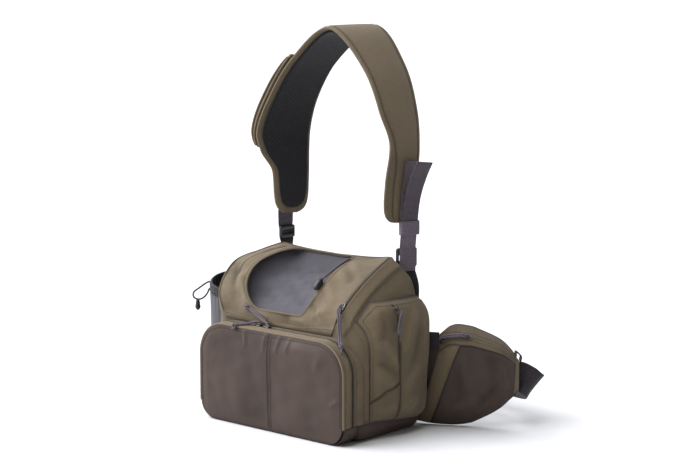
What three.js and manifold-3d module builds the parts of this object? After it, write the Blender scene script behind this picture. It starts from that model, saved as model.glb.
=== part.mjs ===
// Hip pack with a padded belt and one shoulder strap, standing on its base, in millimetres.
// X runs along the pack's width, Y from its front to the wearer and Z up. The origin is the base centre.
import * as THREE from "three";
import { mergeVertices } from "three/addons/utils/BufferGeometryUtils.js";
import Module from "manifold-3d";

const wasm = await Module();
wasm.setup();

const { clamp, degToRad, lerp, smoothstep } = THREE.MathUtils;

// Driving dimensions
const GAP = 0.3;
const CLOTH = 2.2;
const BODY = { halfWidth: 135, front: -54, back: 83, radius: 18 };
const RIM = { halfWidth: 103, front: -54, back: 55, radius: 6 };
const RIDGE_HEIGHT = 236;
const RIDGE_SAG = 6.5;
const LID_DROP = 95;
const LID_CROWN = 4;
const LID_CLOTH = 2.5;
const LID_PROFILE = { bend: 1.2, roll: 2.2 };
const RIM_BOW = 20;
const RIM_NOSE = { cut: 8, power: 10 };
const LEFT_FULLNESS = { width: 21, reach: 0.66 };
const BOOT_HEIGHT = 26;
const SIDE_SHOULDER = 55;
const BACK_SHOULDER = 85;
const ZIP_WIDTH = 4.6;
const ZIP_CLOTH = 1.4;
const POCKET = { halfWidth: 135, bottom: 0, top: 139, topRadius: 46, bottomRadius: 26, face: -83 };
const POCKET_CROWN = 5;
const SIDE_BULGE = 12;
const SLEEVE = { x: -175.4, y: 35, radius: 40.5, floor: 14, top: 159 };
const WING = {
  x: 118,
  y: 90,
  length: 141,
  startHeading: 20,
  endHeading: 46,
  root: 6,
  pad: 10,
  thin: 0.45,
  depth: 21,
};
const STRAP_PAD = 9;
const STRAP_WEBBING = { width: 25, cloth: 1.8 };
const BELT_WEBBING = { width: 40, cloth: 2.2, height: 70, sewn: -5.6, behind: -6 };
const CORD = 2.8;

// Distance below the rim and distance out from rim to wall, as shares of the shoulder
const SHOULDER = [
  { drop: 0, side: 0, back: 0 },
  { drop: 0.22, side: 0.42, back: 0.24 },
  { drop: 0.5, side: 0.8, back: 0.66 },
  { drop: 0.78, side: 0.96, back: 0.95 },
  { drop: 1, side: 1, back: 1 },
];

// Rounded lower edge of the tub, from its rim to its flat floor
const BOOT_OUTSIDE = [
  { height: BOOT_HEIGHT, inset: 0 },
  { height: 14, inset: 0.6 },
  { height: 5, inset: 4 },
  { height: 1.2, inset: 9 },
  { height: 0, inset: 14 },
];
const BOOT_INSIDE = [
  { height: BOOT_HEIGHT, inset: 2.4 },
  { height: 14.5, inset: 3 },
  { height: 6.6, inset: 6 },
  { height: 3.6, inset: 10 },
  { height: 2.6, inset: 14.4 },
];

// Lower and upper edge of the belt wing along its length
const WING_EDGE = [
  { along: 0, low: 4, high: 104 },
  { along: 20, low: 1.8, high: 117 },
  { along: 36, low: 1.4, high: 132 },
  { along: 46, low: 1.4, high: 140 },
  { along: 56, low: 2, high: 143 },
  { along: 74, low: 5, high: 141 },
  { along: 88, low: 11, high: 136 },
  { along: 115, low: 26, high: 123 },
  { along: 128, low: 38, high: 111 },
  { along: 141, low: 50, high: 92 },
];

// Shoulder strap from its left tip over the arch to its right tip.
// front and back are the edges' distances from the middle line, turn the width's direction from X.
const STRAP = [
  { x: -97, z: 283, front: 24, back: 32, turn: 76 },
  { x: -101, z: 335, front: 28, back: 33, turn: 76 },
  { x: -105, z: 366, front: 48, back: 35, turn: 77 },
  { x: -106, z: 392, front: 56, back: 36, turn: 78 },
  { x: -96, z: 437, front: 50, back: 36, turn: 79 },
  { x: -62, z: 496, front: 46, back: 38, turn: 80 },
  { x: 5, z: 543, front: 48, back: 42, turn: 82 },
  { x: 66, z: 492, front: 44, back: 38, turn: 86 },
  { x: 97, z: 433, front: 38, back: 34, turn: 88 },
  { x: 108, z: 386, front: 32, back: 31, turn: 88 },
  { x: 107, z: 340, front: 32, back: 32, turn: 88 },
  { x: 103, z: 283, front: 27, back: 29, turn: 88 },
];
const STRAP_FOOT = 285;
const STRAP_FOOT_Y = 60;
const STRAP_LEAN = 0.1;

const material = (color, roughness, metalness = 0) =>
  new THREE.MeshStandardMaterial({ color, roughness, metalness });
const KHAKI = { color: 0x857a63, roughness: 0.85 };
const BROWN = { color: 0x5b504b, roughness: 0.55 };
const GRAY = { color: 0x77747f, roughness: 0.8 };
const WEBBING = { color: 0x554c56, roughness: 0.8 };
const MESH = { color: 0x1f1d20, roughness: 0.9 };
const PLASTIC = { color: 0x17171a, roughness: 0.45 };
const ZIPPER = { color: 0x3c372f, roughness: 0.7 };
const METAL = { color: 0x5a5a5c, roughness: 0.35, metalness: 0.9 };
const PULL = { color: 0x827882, roughness: 0.8 };

const pack = new THREE.Group();

// Adds one named piece to the pack
function piece(name, geometry, finish) {
  const mesh = new THREE.Mesh(geometry, material(finish.color, finish.roughness, finish.metalness));
  mesh.name = name;
  pack.add(mesh);
}

// Closes a set of points and triangles into a solid whose faces point out
function solid(positions, triangles) {
  let geometry = new THREE.BufferGeometry();
  geometry.setAttribute("position", new THREE.Float32BufferAttribute(positions, 3));
  geometry.setIndex(triangles);
  geometry = mergeVertices(geometry, 1e-4);
  const place = geometry.attributes.position;
  const index = Array.from(geometry.index.array);
  const [a, b, c] = [new THREE.Vector3(), new THREE.Vector3(), new THREE.Vector3()];
  const kept = [];
  let volume = 0;
  for (let k = 0; k < index.length; k += 3) {
    const [i, j, l] = index.slice(k, k + 3);
    if (i === j || j === l || l === i) continue;
    kept.push([i, j, l]);
    a.fromBufferAttribute(place, i);
    b.fromBufferAttribute(place, j);
    c.fromBufferAttribute(place, l);
    volume += a.dot(b.cross(c));
  }
  geometry.setIndex(kept.flatMap(([i, j, l]) => (volume > 0 ? [i, j, l] : [i, l, j])));
  geometry.computeVertexNormals();
  return geometry;
}

// A sheet of cloth between an outer and an inner surface, both functions of two shares from 0 to 1.
// A closed sheet wraps round its first share, and a capped one is shut at the end of its second.
function sheet(outer, inner, cols, rows, { closed = false, capped = false } = {}) {
  const columns = closed ? cols : cols + 1;
  const positions = [];
  for (const side of [outer, inner]) {
    for (let j = 0; j <= rows; j += 1) {
      for (let i = 0; i < columns; i += 1) positions.push(...side(i / cols, j / rows, i, j));
    }
  }
  const layer = columns * (rows + 1);
  const at = (side, i, j) => side * layer + j * columns + (i % columns);
  const triangles = [];
  const quad = (a, b, c, d) => triangles.push(a, b, c, a, c, d);
  for (let i = 0; i < cols; i += 1) {
    for (let j = 0; j < rows; j += 1) {
      quad(at(0, i, j), at(0, i + 1, j), at(0, i + 1, j + 1), at(0, i, j + 1));
      quad(at(1, i, j), at(1, i, j + 1), at(1, i + 1, j + 1), at(1, i + 1, j));
    }
    quad(at(0, i + 1, 0), at(0, i, 0), at(1, i, 0), at(1, i + 1, 0));
    if (!capped) quad(at(0, i, rows), at(0, i + 1, rows), at(1, i + 1, rows), at(1, i, rows));
  }
  for (let j = 0; j < rows && !closed; j += 1) {
    quad(at(0, 0, j), at(0, 0, j + 1), at(1, 0, j + 1), at(1, 0, j));
    quad(at(0, cols, j + 1), at(0, cols, j), at(1, cols, j), at(1, cols, j + 1));
  }
  for (const side of capped ? [0, 1] : []) {
    const centre = new THREE.Vector3();
    for (let i = 0; i < columns; i += 1) {
      centre.add(new THREE.Vector3().fromArray(positions, 3 * at(side, i, rows)).divideScalar(columns));
    }
    const hub = positions.length / 3;
    positions.push(...centre);
    for (let i = 0; i < cols; i += 1) {
      const [from, to] = side === 0 ? [i, i + 1] : [i + 1, i];
      triangles.push(at(side, from, rows), at(side, to, rows), hub);
    }
  }
  return solid(positions, triangles);
}

// Unit normal of a surface given as a function of two shares
function normalOf(surface, u, v) {
  const step = 1e-3;
  const [u0, u1] = [clamp(u - step, 0, 1), clamp(u + step, 0, 1)];
  const [v0, v1] = [clamp(v - step, 0, 1), clamp(v + step, 0, 1)];
  const along = surface(u1, v).sub(surface(u0, v));
  const across = surface(u, v1).sub(surface(u, v0));
  return along.cross(across).normalize();
}

// The same surface moved along its normal
function offset(surface, distance) {
  return (u, v) => surface(u, v).addScaledVector(normalOf(surface, u, v), distance);
}

// Straight line through the rows of a table
function between(table, key, at, value) {
  const next = Math.max(1, table.findIndex((row) => row[key] >= at));
  const row = at > table[table.length - 1][key] ? table.length - 1 : next;
  const [a, b] = [table[row - 1], table[row]];
  return lerp(a[value], b[value], clamp((at - a[key]) / (b[key] - a[key]), 0, 1));
}

// Lid and rim
function lidShare(y) {
  return clamp((RIM.back - y) / (RIM.back - RIM.front), 0, 1);
}

function lidHeight(share) {
  return RIDGE_HEIGHT - LID_DROP * (1 - (1 - share ** LID_PROFILE.bend) ** (1 / LID_PROFILE.roll));
}

// The left half is fuller towards the front, where the pack is packed out over the sleeve
function rimHalfWidth(share, side) {
  const half = RIM.halfWidth + RIM_BOW * share * (1 - share) - RIM_NOSE.cut * share ** RIM_NOSE.power;
  return side < 0 ? half + LEFT_FULLNESS.width * smoothstep(share, 0, LEFT_FULLNESS.reach) : half;
}

function ridgeSag(x, share) {
  return RIDGE_SAG * (1 - (x / RIM.halfWidth) ** 2) * (1 - share) ** 2;
}

// Places round a rounded rectangle, each with its share of the straight sides and its normal
function ringStations(sideSteps, endSteps, cornerSteps, spacing = (share) => share) {
  const stations = [];
  const corner = (cx, cy, start) => {
    for (let k = 0; k < cornerSteps; k += 1) {
      const angle = degToRad(start + (90 * k) / cornerSteps);
      stations.push({ cx, cy, nx: Math.cos(angle), ny: Math.sin(angle) });
    }
  };
  for (let k = 0; k < sideSteps; k += 1) {
    stations.push({ cx: 1, cy: -1 + 2 * spacing(k / sideSteps), nx: 1, ny: 0 });
  }
  corner(1, 1, 0);
  for (let k = 0; k < endSteps; k += 1) stations.push({ cx: 1 - (2 * k) / endSteps, cy: 1, nx: 0, ny: 1 });
  corner(-1, 1, 90);
  for (let k = 0; k < sideSteps; k += 1) {
    stations.push({ cx: -1, cy: -1 + 2 * spacing(1 - k / sideSteps), nx: -1, ny: 0 });
  }
  corner(-1, -1, 180);
  for (let k = 0; k < endSteps; k += 1) stations.push({ cx: -1 + (2 * k) / endSteps, cy: -1, nx: 0, ny: -1 });
  corner(1, -1, 270);
  return stations;
}

const denseFront = (share) => 1 - Math.sin(((1 - share) * Math.PI) / 2);
const bodyRing = ringStations(8, 6, 3, denseFront);

function wallPoint({ cx, cy, nx, ny }, height, inset) {
  const middle = (BODY.front + BODY.back) / 2;
  const half = (BODY.back - BODY.front) / 2 - BODY.radius;
  const x = cx * (BODY.halfWidth - BODY.radius) + (BODY.radius - inset) * nx;
  return new THREE.Vector3(x, middle + cy * half + (BODY.radius - inset) * ny, height);
}

function rimPoint({ cx, cy, nx, ny }, inset) {
  const middle = (RIM.front + RIM.back) / 2;
  const half = (RIM.back - RIM.front) / 2 - RIM.radius;
  const seam = middle + cy * half + RIM.radius * ny;
  const share = lidShare(seam);
  const x = cx * (rimHalfWidth(share, cx) - RIM.radius) + (RIM.radius - inset) * nx;
  const height = lidHeight(share) - ridgeSag(x, share) - GAP;
  return new THREE.Vector3(x, seam - inset * ny, height);
}

const backShare = ({ ny }) => Math.sqrt(Math.max(0, ny));
const shoulderHeight = (station) => lerp(SIDE_SHOULDER, BACK_SHOULDER, backShare(station));

// Wall of the main compartment: upright below, leaning in to the rim over the shoulder
function bodyPoint(station, height, inset) {
  const rim = rimPoint(station, inset);
  const wall = wallPoint(station, height, inset);
  const drop = (rim.z - height) / shoulderHeight(station);
  const side = between(SHOULDER, "drop", drop, "side");
  const out = lerp(side, between(SHOULDER, "drop", drop, "back"), backShare(station));
  return new THREE.Vector3(lerp(rim.x, wall.x, out), lerp(rim.y, wall.y, out), height);
}

function shellHeights(station) {
  const top = rimPoint(station, 0).z;
  const lean = shoulderHeight(station);
  const shoulder = SHOULDER.map(({ drop }) => top - drop * lean).reverse();
  const foot = BOOT_HEIGHT + GAP;
  return [foot, lerp(foot, shoulder[0], 0.5), ...shoulder];
}

const shellRows = SHOULDER.length + 1;
const shellSide = (inset) => (u, v, i, j) => {
  const station = bodyRing[i];
  return bodyPoint(station, shellHeights(station)[j], inset);
};
const shell = sheet(shellSide(0), shellSide(CLOTH), bodyRing.length, shellRows, { closed: true });
piece("main_shell", shell, KHAKI);

const bootSide = (profile) => (u, v, i, j) => wallPoint(bodyRing[i], profile[j].height, profile[j].inset);
const bootRows = BOOT_OUTSIDE.length - 1;
const tub = { closed: true, capped: true };
const boot = sheet(bootSide(BOOT_OUTSIDE), bootSide(BOOT_INSIDE), bodyRing.length, bootRows, tub);
piece("bottom_boot", boot, BROWN);

// Lid, its zip tapes and the trough let into it
const LID_EDGE = CLOTH + 2 * GAP + ZIP_WIDTH + GAP;
const LID_BACK_SHARE = (CLOTH + 2 * GAP) / (RIM.back - RIM.front);

function lidPoint(x, share) {
  const across = x / rimHalfWidth(share, x);
  const crown = LID_CROWN * (1 - across ** 2) * Math.sin(Math.PI * share);
  const y = RIM.back - share * (RIM.back - RIM.front);
  return new THREE.Vector3(x, y, lidHeight(share) - ridgeSag(x, share) + crown);
}

const lidAcross = (across, share) => lidPoint(across * (rimHalfWidth(share, across) - LID_EDGE), share);

function lidSurface(u, v) {
  const share = LID_BACK_SHARE + (1 - LID_BACK_SHARE) * Math.sin((v * Math.PI) / 2);
  return lidAcross(lerp(-1, 1, u), share);
}

// Outline of the trough's mouth in plan, a rounded box in the lid's own shares
const MOUTH = { left: -0.77, right: 0.36, back: 0.1, front: 0.955, power: 0.45, points: 28 };

function mouthPoint(angle, spread) {
  const soft = (value) => Math.sign(value) * Math.abs(value) ** MOUTH.power;
  const across = lerp(MOUTH.left, MOUTH.right, 0.5 + 0.5 * spread * soft(Math.cos(angle)));
  const share = lerp(MOUTH.back, MOUTH.front, 0.5 + 0.5 * spread * soft(Math.sin(angle)));
  return lidAcross(across, share);
}

function manifoldOf(geometry) {
  const plain = geometry.clone();
  plain.deleteAttribute("normal");
  plain.deleteAttribute("uv");
  const merged = mergeVertices(plain, 1e-4);
  const vertProperties = new Float32Array(merged.attributes.position.array);
  const triVerts = new Uint32Array(merged.index.array);
  return new wasm.Manifold(new wasm.Mesh({ numProp: 3, vertProperties, triVerts }));
}

function cut(geometry, cutter) {
  const mesh = manifoldOf(geometry).subtract(manifoldOf(cutter)).getMesh();
  return solid(Array.from(mesh.vertProperties), Array.from(mesh.triVerts));
}

function mouthCutter() {
  const corners = [];
  for (let k = 0; k < MOUTH.points; k += 1) {
    const { x, y } = mouthPoint((2 * Math.PI * k) / MOUTH.points, 1);
    corners.push(new THREE.Vector2(x, y));
  }
  const outline = new THREE.Shape(corners);
  return new THREE.ExtrudeGeometry(outline, { depth: 2 * RIDGE_HEIGHT, bevelEnabled: false });
}

const lidSheet = sheet(offset(lidSurface, 0), offset(lidSurface, LID_CLOTH), 12, 11);
piece("lid", cut(lidSheet, mouthCutter()), KHAKI);

const ZIP_SPAN = { from: 0.07, to: 0.93 };
for (const [side, name] of [[-1, "lid_zipper_left"], [1, "lid_zipper_right"]]) {
  const tape = (u, v) => {
    const share = lerp(ZIP_SPAN.from, ZIP_SPAN.to, Math.sin((v * Math.PI) / 2));
    const edge = rimHalfWidth(share, side) - CLOTH - 2 * GAP;
    return lidPoint(side * lerp(edge - ZIP_WIDTH, edge, u), share);
  };
  piece(name, sheet(tape, offset(tape, side * ZIP_CLOTH), 1, 12), ZIPPER);
}

const TROUGH = { depth: 24, margin: 1.07, steps: 10 };
function troughSurface(sink) {
  return (u, v) => {
    const [a, b] = [lerp(-1, 1, u), lerp(-1, 1, v)];
    const across = lerp(MOUTH.left, MOUTH.right, 0.5 + 0.5 * TROUGH.margin * a);
    const share = lerp(MOUTH.back, MOUTH.front, 0.5 + 0.5 * TROUGH.margin * b);
    const surface = (p, q) => lidAcross(across + p, clamp(share + q, 0.01, 0.999));
    const normal = surface(1e-3, 0).sub(surface(-1e-3, 0)).cross(surface(0, 1e-3).sub(surface(0, -1e-3)));
    const dip = LID_CLOTH + 2 * GAP + TROUGH.depth * (1 - a ** 6) * (1 - b ** 6) + sink;
    return surface(0, 0).addScaledVector(normal.normalize(), dip);
  };
}
piece("top_recess", sheet(troughSurface(0), troughSurface(CLOTH), TROUGH.steps, TROUGH.steps), GRAY);

// Front pocket
const pocketRing = ringStations(4, 8, 4);

function pocketPoint({ cx, cy, nx, ny }, y, inset) {
  const radius = cy > 0 && ny >= 0 ? POCKET.topRadius : POCKET.bottomRadius;
  const upper = POCKET.top - POCKET.topRadius;
  const lower = POCKET.bottom + POCKET.bottomRadius;
  const x = cx * (POCKET.halfWidth - radius) + (radius - inset) * nx;
  return new THREE.Vector3(x, y, lerp(lower, upper, (cy + 1) / 2) + (radius - inset) * ny);
}

// Stations from the right side's foot over the top to the left side's foot, and back underneath
const leftFoot = pocketRing.findIndex(({ cy, nx }) => cy === -1 && nx < 0);
const overTop = pocketRing.slice(0, leftFoot + 1);
const underneath = [...pocketRing.slice(leftFoot), pocketRing[0]];

function pocketBand(run, from, to, cloth) {
  const side = (inset) => (u, v, i) => pocketPoint(run[i], lerp(from, to, v), inset);
  return sheet(side(0), side(cloth), run.length - 1, 1);
}

const PANEL_CLOTH = 2.4;
const PANEL_BACK = POCKET.face + PANEL_CLOTH + GAP;
const POCKET_BACK = BODY.front - GAP;
const WELT_BACK = PANEL_BACK + 14;
const FRONT_ZIP_BACK = WELT_BACK + GAP + ZIP_WIDTH;
piece("front_pocket_welt", pocketBand(overTop, PANEL_BACK, WELT_BACK, CLOTH), KHAKI);
piece("front_zipper", pocketBand(overTop, WELT_BACK + GAP, FRONT_ZIP_BACK, ZIP_CLOTH), ZIPPER);
piece("front_pocket_gusset", pocketBand(overTop, FRONT_ZIP_BACK + GAP, POCKET_BACK, CLOTH), KHAKI);
const frontBoot = (inset) => (u, v, i) => {
  const place = pocketPoint(underneath[i], lerp(PANEL_BACK, POCKET_BACK, v), inset);
  place.z -= u === 0 || u === 1 ? GAP : 0;
  return place;
};
piece("front_pocket_boot", sheet(frontBoot(0), frontBoot(CLOTH), underneath.length - 1, 1), BROWN);

// The panel's rows follow the right half of the outline from the bottom edge to the top edge
const bottomCorner = pocketRing.slice(-4);
const topCorner = pocketRing.slice(4, 9);
const panelRows = [...bottomCorner, ...pocketRing.slice(0, 4), ...topCorner];
const panelMiddle = (POCKET.top + POCKET.bottom) / 2;
const panelHalf = (POCKET.top - POCKET.bottom) / 2;
const panelSide = (depth) => (u, v, i, j) => {
  const edge = pocketPoint(panelRows[j], 0, 0);
  const x = lerp(-edge.x, edge.x, u);
  const dome = (1 - (x / POCKET.halfWidth) ** 4) * (1 - ((edge.z - panelMiddle) / panelHalf) ** 4);
  return new THREE.Vector3(x, POCKET.face - POCKET_CROWN * dome + depth, edge.z);
};
piece("front_pocket_panel", sheet(panelSide(0), panelSide(PANEL_CLOTH), 14, panelRows.length - 1), BROWN);

// Right side pocket, a pillow on the wall that wraps round the back corner
const SIDE = { front: -0.93, straight: 0.8, wrap: 50, below: 13, top: 186, rearDrop: 34, stand: 1.5 };
const SIDE_ZIP = { at: 0.36, half: 0.02, from: 0.4, to: 0.97 };

function sideStation(along) {
  if (along < SIDE.straight) return { cx: 1, cy: lerp(SIDE.front, 1, along / SIDE.straight), nx: 1, ny: 0 };
  const angle = degToRad((SIDE.wrap * (along - SIDE.straight)) / (1 - SIDE.straight));
  return { cx: 1, cy: 1, nx: Math.cos(angle), ny: Math.sin(angle) };
}

function sidePocketPoint(along, up, lift) {
  const station = sideStation(along);
  const rearCorner = clamp((along - SIDE.straight) / (1 - SIDE.straight), 0, 1);
  const top = Math.min(SIDE.top - SIDE.rearDrop * rearCorner ** 2, rimPoint(station, 0).z - SIDE.below);
  const bulge = SIDE_BULGE * (1 - (2 * along - 1) ** 6) * (1 - (2 * up - 1) ** 8);
  return bodyPoint(station, lerp(BOOT_HEIGHT + 1, top, up), -(SIDE.stand + bulge + lift));
}

const sideFace = (lift) => (u, v) => sidePocketPoint(u, v, lift);
piece("side_pocket_right", sheet(sideFace(CLOTH), sideFace(0), 12, 9), KHAKI);
const sideZip = (lift) => (u, v) => {
  const along = SIDE_ZIP.at + lerp(-SIDE_ZIP.half, SIDE_ZIP.half, u);
  return sidePocketPoint(along, lerp(SIDE_ZIP.from, SIDE_ZIP.to, v), CLOTH + GAP + lift);
};
piece("side_zipper", sheet(sideZip(ZIP_CLOTH), sideZip(0), 1, 12), ZIPPER);

// Open sleeve on the left side, flat where it lies against the wall
const SLEEVE_WALL = -BODY.halfWidth - 2 * GAP;
const SLEEVE_SIDES = 24;
const HEM = { height: 13, cloth: 3.4, slope: 8.4, high: 135 };
const SLEEVE_PROFILE = [
  { share: 0, inset: 0 },
  { share: 0.5, inset: 0 },
  { share: 0.93, inset: 1.5 },
  { share: 0.98, inset: 5 },
  { share: 1, inset: 11 },
];

function sleevePoint(angle, height, inset) {
  const x = SLEEVE.x + (SLEEVE.radius - inset) * Math.cos(angle);
  const y = SLEEVE.y + (SLEEVE.radius - inset) * Math.sin(angle);
  return new THREE.Vector3(Math.min(x, SLEEVE_WALL - inset), y, height);
}

const sleeveTop = (angle) => SLEEVE.top + HEM.slope * Math.cos(angle - degToRad(HEM.high));
const sleeveSide = (cloth) => (u, v, i, j) => {
  const angle = 2 * Math.PI * u;
  const { share, inset } = SLEEVE_PROFILE[j];
  return sleevePoint(angle, lerp(sleeveTop(angle), SLEEVE.floor + cloth, share), inset + cloth);
};
const sleeveRows = SLEEVE_PROFILE.length - 1;
piece("left_sleeve", sheet(sleeveSide(0), sleeveSide(CLOTH), SLEEVE_SIDES, sleeveRows, tub), GRAY);
const hemSide = (cloth) => (u, v) => {
  const angle = 2 * Math.PI * u;
  return sleevePoint(angle, sleeveTop(angle) + GAP + HEM.height * v, cloth);
};
piece("sleeve_hem", sheet(hemSide(-0.2), hemSide(HEM.cloth), SLEEVE_SIDES, 1, { closed: true }), WEBBING);

// Belt wings: a padded curved tongue on each side, with a pocket on the right one
function wingPoint(along, height, lift) {
  const turn = degToRad(WING.endHeading - WING.startHeading);
  const radius = WING.length / turn;
  const start = degToRad(WING.startHeading);
  const heading = start + along / radius;
  const x = WING.x + radius * (Math.sin(heading) - Math.sin(start));
  const y = WING.y - radius * (Math.cos(heading) - Math.cos(start));
  return new THREE.Vector3(x + lift * Math.sin(heading), y - lift * Math.cos(heading), height);
}

const wingLow = (along) => between(WING_EDGE, "along", along, "low");
const wingHigh = (along) => between(WING_EDGE, "along", along, "high");

// Half the pad's thickness, which thins towards its edges and its tip
function padHalf(along, height) {
  const up = clamp((height - wingLow(along)) / (wingHigh(along) - wingLow(along)), 0, 1);
  const edge = Math.max(Math.abs(2 * up - 1) ** 4, clamp(along / WING.length, 0, 1) ** 8);
  return (WING.pad / 2) * (1 - WING.thin * edge);
}

const wingPadSide = (mirror, side) => (u, v) => {
  const along = lerp(-WING.root, WING.length, u);
  const height = lerp(wingLow(along), wingHigh(along), v);
  const place = wingPoint(along, height, side * padHalf(along, height));
  place.x *= mirror;
  return place;
};
piece("wing_pad_right", sheet(wingPadSide(1, 1), wingPadSide(1, -1), 12, 6), BROWN);
piece("wing_pad_left", sheet(wingPadSide(-1, 1), wingPadSide(-1, -1), 12, 6), BROWN);

const wingFace = (along, height) => padHalf(along, height) + 2 * GAP;
const PANEL_ROOT = { low: 20, high: 58, tip: 137 };
const BAND_WIDTH = 18;
const GUSSET = { root: 24, tip: 13, taper: 78 };
const gussetTaper = (along) => clamp((along - PANEL_ROOT.high) / GUSSET.taper, 0, 1);
const gussetHeight = (along) => lerp(GUSSET.root, GUSSET.tip, gussetTaper(along));
const wingPocketTop = (along) => wingHigh(along) - gussetHeight(along);
const panelBulge = (u, v) => WING.depth * v ** 0.75 * (1 - u ** 6);
const bandBulge = (u, v) => panelBulge(0, v) * lerp(0.15, 1, u);

const wingPanel = (cloth) => (u, v) => {
  const along = lerp(lerp(PANEL_ROOT.low, PANEL_ROOT.high, v), PANEL_ROOT.tip, u);
  const height = lerp(wingLow(along) + 1.5, wingPocketTop(along), v);
  return wingPoint(along, height, wingFace(along, height) + panelBulge(u, v) + cloth);
};
piece("wing_pocket_panel", sheet(wingPanel(CLOTH), wingPanel(0), 10, 7), BROWN);

const wingBand = (cloth) => (u, v) => {
  const root = lerp(PANEL_ROOT.low, PANEL_ROOT.high, v) - GAP;
  const along = lerp(root - BAND_WIDTH, root, u);
  const height = lerp(wingLow(along) + 1.5, wingPocketTop(along), v);
  return wingPoint(along, height, wingFace(along, height) + bandBulge(u, v) + cloth);
};
piece("wing_band", sheet(wingBand(CLOTH), wingBand(0), 2, 7), KHAKI);

// Lift of the pocket's upper edge, over the band first and then over the panel
function pocketLip(along) {
  const panelShare = (along - PANEL_ROOT.high) / (PANEL_ROOT.tip - PANEL_ROOT.high);
  const bandShare = clamp(1 + (along - PANEL_ROOT.high) / BAND_WIDTH, 0, 1);
  return panelShare < 0 ? bandBulge(bandShare, 1) : panelBulge(panelShare, 1);
}

const GUSSET_ROOT = PANEL_ROOT.high - BAND_WIDTH;
const wingTop = (cloth) => (u, v) => {
  const along = lerp(GUSSET_ROOT, PANEL_ROOT.tip, u);
  const height = lerp(wingPocketTop(along) + 2 * GAP, wingHigh(along), v);
  const lift = lerp(pocketLip(along) + CLOTH, 0, v ** 1.5) + wingFace(along, height);
  const under = CLOTH - cloth;
  return wingPoint(along, height - under * v, lift - under * (1 - v));
};
piece("wing_gusset", sheet(wingTop(CLOTH), wingTop(0), 12, 3), KHAKI);

const wingZip = (lift) => (u, v) => offset(wingTop(CLOTH), lift)(lerp(0.03, 0.92, v), lerp(0.36, 0.56, u));
piece("wing_zipper", sheet(wingZip(2 * GAP + ZIP_CLOTH), wingZip(2 * GAP), 1, 12), ZIPPER);

// A flat strap along a curve, its width along a given direction
function ribbon(points, widthAt, width, cloth, steps) {
  const places = points.map((place) => new THREE.Vector3(...place));
  const curve = new THREE.CatmullRomCurve3(places, false, "centripetal");
  const side = (sign) => (u, v) => {
    const along = curve.getTangentAt(v);
    const wide = widthAt(v).clone().addScaledVector(along, -widthAt(v).dot(along)).normalize();
    const face = new THREE.Vector3().crossVectors(along, wide);
    const edge = curve.getPointAt(v).addScaledVector(wide, lerp(-0.5, 0.5, u) * width);
    return edge.addScaledVector(face, (sign * cloth) / 2);
  };
  return sheet(side(1), side(-1), 1, steps);
}

// The belt runs on from the wing's tip, turns back and meets the buckle behind the pack
const BUCKLE = { length: 64, height: 46, thickness: 11, y: 230, z: 46 };
const BELT_ROUTE = [
  wingPoint(WING.length - 14, BELT_WEBBING.height, BELT_WEBBING.sewn).toArray(),
  wingPoint(WING.length + 3, BELT_WEBBING.height, BELT_WEBBING.behind).toArray(),
  [241.4, 176.4, 65.4],
  [245, 182.6, 59],
  [244, 190, 55],
  [234, 199, 51],
  [150, 222, 46],
  [BUCKLE.length / 2 + 3 * GAP, BUCKLE.y, BUCKLE.z],
];
const upright = () => new THREE.Vector3(0, 0, 1);
const BELT_FOLD = { x: 0.47, y: 0.4, z: 0.79, from: 0.07, full: 0.14, release: 0.2, upright: 0.45 };
const beltWidth = (side) => (v) => {
  const leaning = clamp((v - BELT_FOLD.from) / (BELT_FOLD.full - BELT_FOLD.from), 0, 1);
  const straight = (BELT_FOLD.upright - v) / (BELT_FOLD.upright - BELT_FOLD.release);
  const folded = leaning * clamp(straight, 0, 1);
  return upright().lerp(new THREE.Vector3(side * BELT_FOLD.x, BELT_FOLD.y, BELT_FOLD.z), folded);
};
for (const [side, name] of [[1, "belt_webbing_right"], [-1, "belt_webbing_left"]]) {
  const route = BELT_ROUTE.map(([x, y, z]) => [side * x, y, z]);
  piece(name, ribbon(route, beltWidth(side), BELT_WEBBING.width, BELT_WEBBING.cloth, 30), WEBBING);
}

// Short strap from the pack's back corner to the wing's root, and the loop on the wing's tip
const STAY = { height: 119, width: 25 };
const onPad = (along) => wingPoint(along, STAY.height, WING.pad / 2 + 4 * GAP).toArray();
const stayRoute = [[124, 83.4, STAY.height], [131, 86.4, STAY.height], onPad(18), onPad(25), onPad(32)];
piece("wing_stay", ribbon(stayRoute, upright, STAY.width, STRAP_WEBBING.cloth, 8), WEBBING);

const LOOP = { foot: 136, far: 142, rise: 9, width: 14 };
const loopAt = (along, rise) => wingPoint(along, wingHigh(along) + rise, 0).toArray();
const loopRoute = [
  loopAt(LOOP.foot, 1.4),
  loopAt(LOOP.foot, 0.7 * LOOP.rise),
  loopAt((LOOP.foot + LOOP.far) / 2 + 1, LOOP.rise + 2),
  loopAt(LOOP.far + 1, 0.9 * LOOP.rise),
  loopAt(LOOP.far, 1.4),
];
const tipHeading = degToRad(WING.endHeading);
const outOfWing = () => new THREE.Vector3(Math.sin(tipHeading), -Math.cos(tipHeading), 0);
piece("wing_loop", ribbon(loopRoute, outOfWing, LOOP.width, STRAP_WEBBING.cloth, 12), WEBBING);

function roundedBox(width, height, depth, radius) {
  const shape = new THREE.Shape();
  const [w, h] = [width / 2 - radius, height / 2 - radius];
  shape.absarc(w, h, radius, 0, Math.PI / 2);
  shape.absarc(-w, h, radius, Math.PI / 2, Math.PI);
  shape.absarc(-w, -h, radius, Math.PI, 1.5 * Math.PI);
  shape.absarc(w, -h, radius, 1.5 * Math.PI, 2 * Math.PI);
  return new THREE.ExtrudeGeometry(shape, { depth, bevelEnabled: false, curveSegments: 3 });
}

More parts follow.
